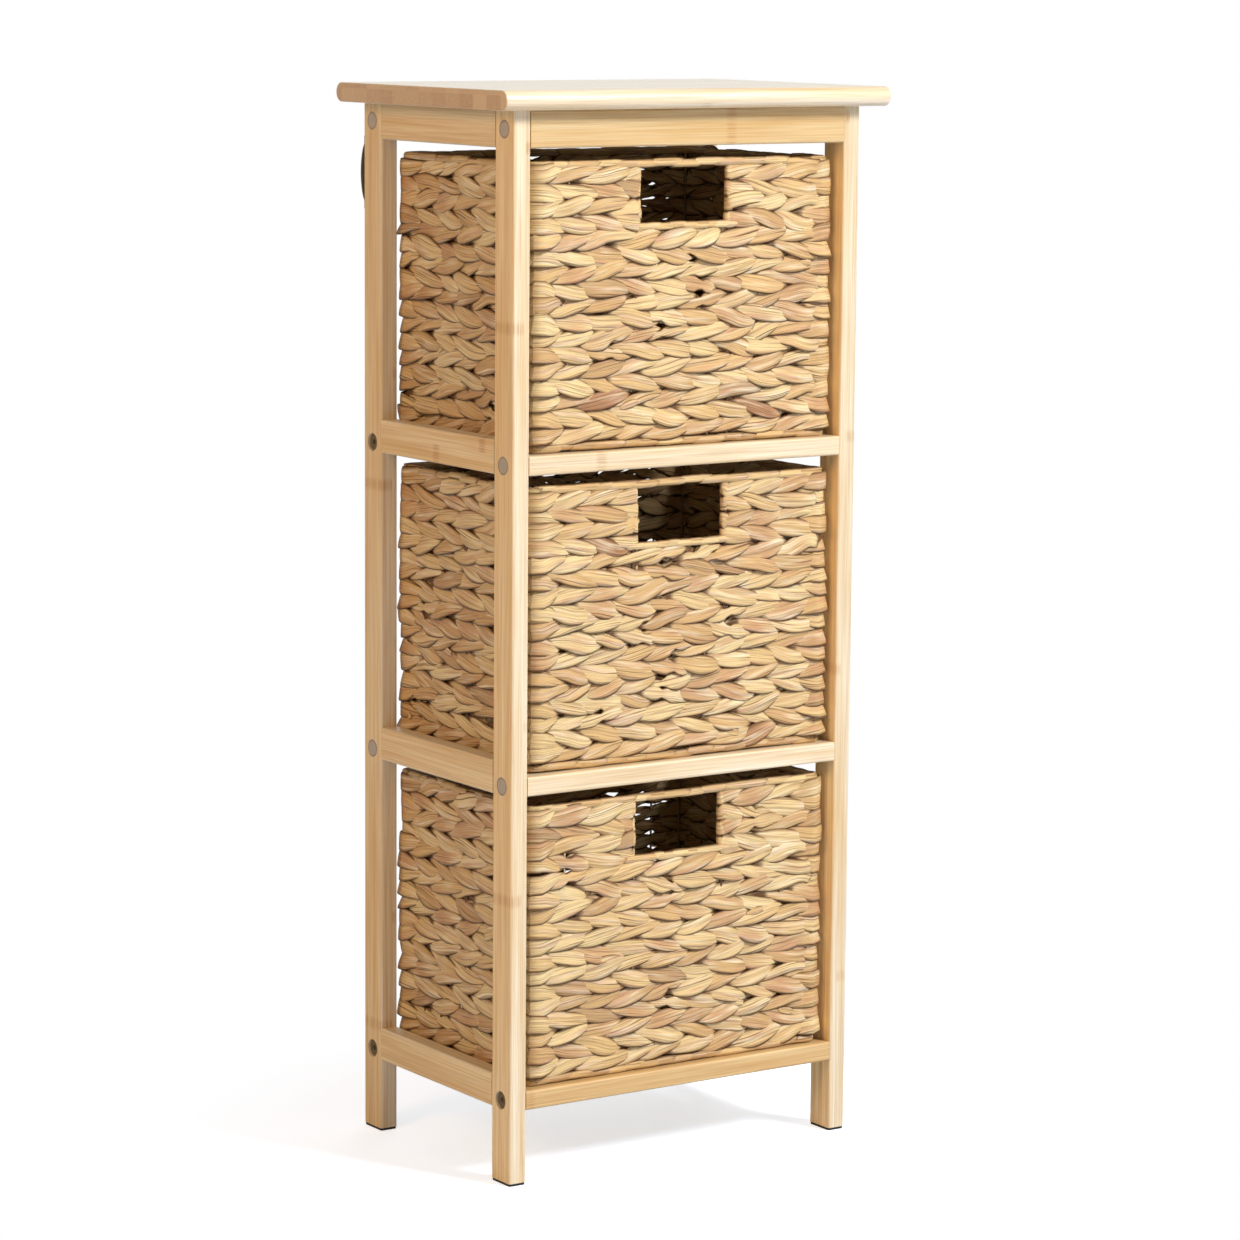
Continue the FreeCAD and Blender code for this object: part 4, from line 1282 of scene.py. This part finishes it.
    def braid_floor(self) -> Piece:
        """Braids the floor in rows from side to side.

        Returns:
            The floor.
        """
        lines = GuideLines()
        reach_x = self.loop.half_x - self.floor_inset
        reach_y = self.loop.half_y - self.floor_inset
        rows = int(round(2 * reach_y / self.row_height))
        run = np.linspace(0.0, 1.0, self.front_leaves * self.inner_steps + 1)
        for row in range(rows):
            slant = Slant.FALLING if row % 2 else Slant.RISING
            y = self.loop.centre[1] - reach_y + (row + 0.5) * (2 * reach_y / rows)
            for start in (0.0, math.pi):
                phase = start + self.wander(run, np.array([0.0, 1.0]),
                                            np.array([0.0, self.front_leaves * math.pi]))
                turn = self.leaf_numbers(phase)
                show = self.shape(phase)
                line = np.empty((len(run), 3))
                line[:, 0] = self.loop.centre[0] + (2 * run - 1) * reach_x
                line[:, 1] = y + slant.value * self.climb * show.climb
                line[:, 2] = float(self.low[2]) + self.floor_lift + self.floor_swing * show.depth
                lines.add(line, np.array([0.0, 1.0, 0.0]), wide=show.wide,
                          thick=self.floor_thickness + self.floor_swell * show.swell,
                          tone=self.tones(int(turn.max()) + 1)[turn])
        return self.sweep("braided_floor", lines, {})

    def wrap_size(self, share: np.ndarray, swell: float) -> np.ndarray:
        """Finds a wrap's share of its full size, which is least at both of its ends."""
        return self.wrap_end + swell * np.sqrt(np.sin(math.pi * np.clip(share, 0.02, 0.98)))

    def wrap_ring(self, node: str, box: list[np.ndarray], pitch: float, tone: float) -> Piece:
        """Wraps a leaf round the upper or lower ring, turn after turn.

        Args:
            node: Name of the piece in the frame.
            box: Lowest and highest corner of the plain ring.
            pitch: Usual distance from one turn to the next.
            tone: Usual tone of the leaf.

        Returns:
            The wrapped ring.
        """
        lines = GuideLines()
        height = float(box[0][2] + box[1][2]) / 2
        tall = float(box[1][2] - box[0][2])
        places = [0.0]
        while places[-1] < self.loop.length - pitch * self.wrap_gaps[0]:
            places.append(places[-1] + pitch * self.rng.uniform(*self.wrap_gaps))
        places.append(self.loop.length)
        tones = np.clip(self.rng.normal(tone, self.wrap_tone_spread, len(places)), *self.wrap_tones)
        before, after = self.wrap_laps
        for start, end, shade in zip(places, places[1:], tones):
            count = max(4, int((end - start) / self.wrap_step) + 2)
            level, outward = self.loop.at(np.linspace(start - before, end + after, count))
            share = np.linspace(0.0, 1.0, count)
            size = self.wrap_size(share, self.wrap_swell) + self.rng.normal(0.0, self.wrap_size_spread)
            size = size + self.rng.normal(0.0, self.wrap_ripple_spread, count)
            line = np.empty((count, 3))
            line[:, :2] = level + outward * self.rng.normal(0.0, self.wrap_out_spread)
            line[:, 2] = height + self.rng.normal(0.0, self.wrap_height_spread)
            # Each wrap turn is painted darker towards its end, as shade where it runs under the next turn.
            lines.add(line, UP, wide=size, thick=size, tone=float(shade), dusk=self.wrap_tuck_shade * share ** 4,
                      shear=self.rng.uniform(*self.wrap_shear))
        crease_depth, crease_width = self.wrap_creases
        return self.sweep(f"wrapped_{node}", lines,
                          {"Width": tall, "Thickness": self.wall * self.wrap_thickness, "Fullness": 1.0,
                           "Crease Depth": crease_depth, "Crease Width": crease_width,
                           "Sides": self.wrap_sides})

    def bind_hole(self) -> Piece:
        """Binds the lower edge of the hand hole with a leaf wound round its cross wire.

        Returns:
            The bound edge.
        """
        lines = GuideLines()
        low, high = self.hole_box
        x = float(low[0]) - self.bind_overhang
        end = float(high[0]) + self.bind_overhang
        before, after = self.bind_laps
        share = np.linspace(0.0, 1.0, self.bind_points)
        size = self.wrap_size(share, self.bind_swell)
        while x < end:
            pitch = self.rng.uniform(*self.bind_pitch)
            line = np.empty((len(share), 3))
            line[:, 0] = np.linspace(x - before, min(x + pitch + after, end + self.bind_end), len(share))
            line[:, 1] = float(low[1] + high[1]) / 2 + self.rng.normal(0.0, self.bind_out_spread)
            line[:, 2] = self.hole_foot + self.bar / 2 + self.rng.normal(0.0, self.bind_height_spread)
            tone = np.clip(self.rng.normal(self.bind_tone, self.bind_tone_spread), *self.bind_tones)
            lines.add(line, UP, wide=size, thick=size, tone=float(tone),
                      shear=self.rng.uniform(*self.bind_shear))
            x += pitch
        crease_depth, crease_width = self.bind_creases
        return self.sweep("hand_hole_edge", lines,
                          {"Width": self.bar, "Thickness": self.wall * self.bind_thickness, "Fullness": 1.0,
                           "Crease Depth": crease_depth, "Crease Width": crease_width,
                           "Sides": self.wrap_sides})


@dataclass
class CoverCaps:
    """Small round caps that close the bolt recesses of the posts."""

    INPUTS = {"Spots": "Geometry", "Radius": "Float", "Thickness": "Float", "Rounding": "Float",
              "Finish": "Material"}
    node: Piece
    radius: float = 6.8 * MM
    thickness: float = 1.3 * MM
    rounding: float = 0.3 * MM
    edge_start: float = 0.85
    sides: int = 40
    rings: int = 10
    level_pitch: float = 241.5 * MM

    def spots(self) -> bpy.types.Mesh:
        """Marks the middle of each cap's outer face, with the direction that it faces.

        Returns:
            A mesh with one point for each cap.
        """
        groups: dict[tuple[bool, bool, int], list[Vector]] = {}
        for vertex in self.node.data.vertices:
            key = (vertex.co.x > 0, vertex.co.y > 0, round(vertex.co.z / self.level_pitch))
            groups.setdefault(key, []).append(vertex.co)
        middles = []
        facing = []
        for (right, _, _), corners in sorted(groups.items()):
            low, high = (Vector(pick(c[i] for c in corners) for i in range(3)) for pick in (min, max))
            middles.append(((high if right else low).x, (low.y + high.y) / 2, (low.z + high.z) / 2))
            facing.extend((1.0 if right else -1.0, 0.0, 0.0))
        made = bpy.data.meshes.new("cap_spots")
        made.from_pydata(middles, [], [])
        made.attributes.new("facing", "FLOAT_VECTOR", "POINT").data.foreach_set("vector", facing)
        return made

    def tree(self) -> tuple[Tree, dict[str, str]]:
        """Builds the geometry tree that sets a round-edged cap on each spot.

        Returns:
            The tree and the identifiers of its inputs by name.
        """
        made, sockets = new_tree("cover_cap", self.INPUTS, "Caps")
        given = add_node(made, "NodeGroupInput").outputs
        disc = add_node(made, "GeometryNodeMeshCylinder",
                        {"Vertices": self.sides, "Fill Segments": self.rings, "Radius": given["Radius"],
                         "Depth": given["Thickness"]}, fill_type="TRIANGLE_FAN")
        place = add_node(made, "GeometryNodeInputPosition")
        flat = add_node(made, "ShaderNodeVectorMath", {0: place, 1: (1.0, 1.0, 0.0)}, operation="MULTIPLY")
        reach = add_node(made, "ShaderNodeVectorMath", {0: flat}, operation="LENGTH").outputs["Value"]
        share = add_node(made, "ShaderNodeMath", {0: reach, 1: given["Radius"]}, operation="DIVIDE")
        marked = add_node(made, "GeometryNodeStoreNamedAttribute",
                          {"Geometry": disc, "Name": "radial", "Value": share}, data_type="FLOAT",
                          domain="POINT")
        edge = add_node(made, "ShaderNodeMapRange", {0: share, 1: self.edge_start, 2: 1.0})
        drop = add_node(made, "ShaderNodeMath", {0: edge, 1: 2.0}, operation="POWER")
        drop = add_node(made, "ShaderNodeMath", {0: drop, 1: given["Rounding"]}, operation="MULTIPLY")
        deep = add_node(made, "ShaderNodeMath", {0: given["Thickness"], 1: -0.5}, operation="MULTIPLY")
        level = add_node(made, "ShaderNodeMath", {0: deep, 1: drop}, operation="SUBTRACT")
        sunk = add_node(made, "ShaderNodeCombineXYZ", {2: level})
        rounded = add_node(made, "GeometryNodeSetPosition", {"Geometry": marked, "Offset": sunk})
        facing = add_node(made, "GeometryNodeInputNamedAttribute", {"Name": "facing"},
                          data_type="FLOAT_VECTOR")
        turned = add_node(made, "FunctionNodeAlignRotationToVector", {"Vector": facing}, axis="Z")
        points = add_node(made, "GeometryNodeMeshToPoints", {0: given["Spots"]})
        caps = add_node(made, "GeometryNodeInstanceOnPoints",
                        {"Points": points, "Instance": rounded, "Rotation": turned})
        end_tree(made, caps, given["Finish"])
        return made, sockets

    def build(self) -> None:
        """Builds the caps where the frame has them."""
        tree, sockets = self.tree()
        piece = add_object("round_cover_caps", self.spots())
        sizes = {"Radius": self.radius, "Thickness": self.thickness, "Rounding": self.rounding,
                 "Finish": CapFinish().material()}
        plain_mesh(piece, tree, {sockets[name]: value for name, value in sizes.items()})
        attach(piece, "stand")
        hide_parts("bolt_cover_caps")
        LOG.info("%s: %d faces", piece.name, len(piece.data.polygons))


@dataclass
class Stand:
    """The bamboo stand: its bars and board, foot pads and hardware, and the wires in the baskets."""

    nodes: dict[str, Piece]

    def finishes(self) -> list[tuple[tuple[str, ...], Material]]:
        """Makes the finishes of the stand.

        Returns:
            Endings of piece names with their finish; the first that fits counts, and the last fits all.
        """
        made = [
            (("_post",), BambooFinish(Grain.UPRIGHT)),
            (("_side_rail", "_side_apron"), BambooFinish(Grain.DEEP)),
            # The front apron's darker honey copy is partly its own strip tone and partly painted shade of the
            # board's overhang.
            (("front_apron",), BambooFinish(Grain.WIDE, "_honey", "#E3CD9F", "#D2AB6E", "#B27F46")),
            (("lower_front_rail",), BambooFinish(Grain.WIDE, "_amber", "#DFC592", "#CCA368", "#AA7740")),
            (("_front_rail", "_rear_rail", "_apron"), BambooFinish(Grain.WIDE)),
            (("top_board",), BambooFinish(Grain.WIDE, "_board", roughness=0.5, coat=1.0, end_blocks=True)),
            (("_foot_pad",), GrittyFinish("moulded_rubber", "#161514", "#2A2826", 0.8 * MM, 0.75)),
            (("_dowels",), GrittyFinish("raw_beech", "#D9B98A", "#C8A473", 1.5 * MM, 0.7)),
            (("frame_bolts",), GrittyFinish("bronzed_steel", "#7C6B49", "#5F5238", 0.9 * MM, 0.65, 0.4)),
            (("_wire_frame",), GrittyFinish("lacquered_wire", "#6B4A30", "#54381F", 1.0 * MM, 0.5)),
            (("",), GrittyFinish("zinc_plated_steel", "#B9B7B0", "#9C9A94", 0.6 * MM, 0.35, 1.0))]
        return [(endings, finish.material()) for endings, finish in made]

    def dress(self) -> None:
        """Gives every piece of the stand its finish."""
        finishes = self.finishes()
        for name, node in self.nodes.items():
            finish = next(made for endings, made in finishes if name.endswith(endings))
            for slot in node.material_slots:
                slot.material = finish
            LOG.info("%s: %s", name, finish.name)


@dataclass
class WallStrap:
    """Short webbing loop on the back of the rear left post."""

    strands: StrandTree
    finish: Material
    thickness: float = 1.4 * MM
    width: float = 13 * MM
    slack: float = 1.2 * MM
    loop_reach: float = 0.76
    points: int = 41
    sides: int = 12
    node: str = "wall_strap_loop"

    def build(self) -> None:
        """Builds the strap where the frame has it."""
        low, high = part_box(self.node)
        half = (high.z - low.z) / 2
        arch = high.y - low.y + self.slack
        share = np.linspace(-1.0, 1.0, self.points)
        reach = np.clip(share / self.loop_reach, -1.0, 1.0)
        bow = np.abs(np.cos(reach * math.pi / 2)) ** 0.6
        line = np.empty((len(share), 3))
        line[:, 0] = (low.x + high.x) / 2
        line[:, 1] = low.y + self.thickness / 2 + arch * bow
        line[:, 2] = (low.z + high.z) / 2 + half * share
        lines = GuideLines()
        lines.add(line, np.array([1.0, 0.0, 0.0]))
        piece = self.strands.sweep(
            "webbing_strap", lines,
            {"Width": self.width, "Thickness": self.thickness, "Fullness": 0.45, "Crease Depth": 0.0,
             "Crease Width": 1 * MM, "Sides": self.sides, "Seed": 0.0, "Finish": self.finish})
        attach(piece, "stand")
        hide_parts(self.node)
        LOG.info("%s: %d faces", piece.name, len(piece.data.polygons))


@dataclass(frozen=True)
class Lamp:
    """A square soft lamp, with its power in watts."""

    name: str
    place: Triple
    size: float
    power: float
    tint: str
    mirrored: bool = True

    def hang(self, goal: Triple) -> None:
        """Hangs the lamp.

        Args:
            goal: Point that it is turned to.
        """
        lamp = bpy.data.lights.new(self.name, "AREA")
        lamp.size = self.size
        lamp.energy = self.power
        lamp.color = linear(self.tint)[:3]
        hung = add_object(self.name, lamp)
        hung.location = self.place
        hung.visible_glossy = self.mirrored
        hung.rotation_euler = (Vector(goal) - Vector(self.place)).to_track_quat("-Z", "Y").to_euler()


@dataclass
class Studio:
    """Pale floor, soft light and the camera."""

    eye: Triple = (-1.8604, -2.7697, 0.9127)
    pitch: float = -8.594
    roll: float = 0.465
    yaw: float = 34.033
    lens: float = 125.1
    sensor: float = 36.0
    far: float = 100.0
    middle: Triple = (0.0, 0.0, 0.42)
    lamps: tuple[Lamp, ...] = (
        Lamp("key", (1.4, -2.75, 2.75), 0.9, 138.0, "#FFFDFA"),
        Lamp("fill", (-3.0, -1.1, 2.1), 1.2, 37.5, "#FFC78C"),
        Lamp("rear", (2.4, 3.0, 1.6), 2.0, 30.0, "#FFFEFC", False))
    floor_size: float = 30.0
    floor_tone: str = "#DBE8FF"
    floor_lift: float = 0.62
    fade: Pair = (0.2, 0.36)
    room_tone: str = "#FFF6EA"
    room_light: float = 0.3
    sheen_tone: str = "#FDFFFD"
    sheen_light: float = 0.84

    def build(self) -> None:
        """Sets up the stage, the light and the camera."""
        self.lay_floor()
        self.light_world()
        for lamp in self.lamps:
            lamp.hang(self.middle)
        self.set_camera()
        bpy.context.scene.view_settings.view_transform = "Standard"

    def lay_floor(self) -> None:
        """Lays a plain pale floor that keeps the soft shadow and runs out into white."""
        half = self.floor_size / 2
        corners = [(-half, -half, 0), (half, -half, 0), (half, half, 0), (-half, half, 0)]
        mesh = bpy.data.meshes.new("floor")
        mesh.from_pydata(corners, [], [(0, 1, 2, 3)])
        floor = add_object("floor", mesh)
        paper, tree, shader = new_material(
            "white_paper", {"Roughness": 0.9, "Base Color": linear(self.floor_tone),
                            "Specular IOR Level": 0.0, "Emission Color": WHITE})
        seen = add_node(tree, "ShaderNodeLightPath").outputs["Is Camera Ray"]
        lift = add_node(tree, "ShaderNodeMapRange", {0: seen, 4: self.floor_lift})
        feed(tree, shader, {"Emission Strength": lift})
        place = add_node(tree, "ShaderNodeTexCoord").outputs["Object"]
        away = add_node(tree, "ShaderNodeVectorMath", {0: place}, operation="LENGTH").outputs["Value"]
        start, full = self.fade
        fade = add_node(tree, "ShaderNodeMapRange", {0: away, 1: start, 2: full},
                        interpolation_type="SMOOTHSTEP")
        faded = add_node(tree, "ShaderNodeMath", {0: fade, 1: seen}, operation="MULTIPLY")
        white = add_node(tree, "ShaderNodeEmission", {0: WHITE, 1: 1.0})
        both = add_node(tree, "ShaderNodeMixShader", {0: faded, 1: shader, 2: white})
        feed(tree, tree.nodes["Material Output"], {0: both})
        mesh.materials.append(paper)

    def light_world(self) -> None:
        """Lights the room softly and shows white behind the object."""
        world = bpy.data.worlds.new("white_room")
        world.use_nodes = True
        tree = world.node_tree
        tree.nodes.clear()
        ray = add_node(tree, "ShaderNodeLightPath").outputs
        room = add_node(tree, "ShaderNodeBackground", {0: linear(self.room_tone), 1: self.room_light})
        sheen = add_node(tree, "ShaderNodeBackground", {0: linear(self.sheen_tone), 1: self.sheen_light})
        white = add_node(tree, "ShaderNodeBackground", {0: WHITE, 1: 1.0})
        lit = add_node(tree, "ShaderNodeMixShader", {0: ray["Is Glossy Ray"], 1: room, 2: sheen})
        both = add_node(tree, "ShaderNodeMixShader", {0: ray["Is Camera Ray"], 1: lit, 2: white})
        add_node(tree, "ShaderNodeOutputWorld", {0: both})
        bpy.context.scene.world = world

    def set_camera(self) -> None:
        """Puts the camera at the photograph's viewing angle."""
        pitch, roll, yaw = (math.radians(v) for v in (self.pitch, self.roll, self.yaw))
        ahead = Vector((math.sin(yaw) * math.cos(pitch), math.cos(yaw) * math.cos(pitch), math.sin(pitch)))
        right = Vector((math.cos(yaw), -math.sin(yaw), 0.0))
        above = right.cross(ahead)
        tilted = right * math.cos(roll) + above * math.sin(roll)
        upward = above * math.cos(roll) - right * math.sin(roll)
        camera = add_object("camera", bpy.data.cameras.new("camera"))
        camera.data.sensor_width = self.sensor
        camera.data.lens = self.lens
        camera.data.clip_end = self.far
        turn = Matrix((tilted, upward, -ahead)).transposed().to_4x4()
        camera.matrix_world = Matrix.Translation(self.eye) @ turn
        bpy.context.scene.camera = camera


def main() -> None:
    """Builds the stand, its baskets and the studio, in that order."""
    logging.basicConfig(level=logging.INFO, format="%(name)s: %(message)s")
    bpy.ops.wm.read_factory_settings(use_empty=True)
    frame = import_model()
    Stand(frame["nodes"]).dress()
    CoverCaps(frame["nodes"]["bolt_cover_caps"]).build()
    strands = StrandTree()
    leaf = HyacinthFinish().material()
    for seed, body in enumerate(("lower_basket", "middle_basket", "upper_basket"), start=11):
        BasketDrawer(body, seed, strands, leaf).build()
    webbing = GrittyFinish("woven_webbing", "#6A614D", "#4A4434", 0.9 * MM, 0.8).material()
    WallStrap(strands, webbing).build()
    Studio().build()


if __name__ == "__main__":
    main()
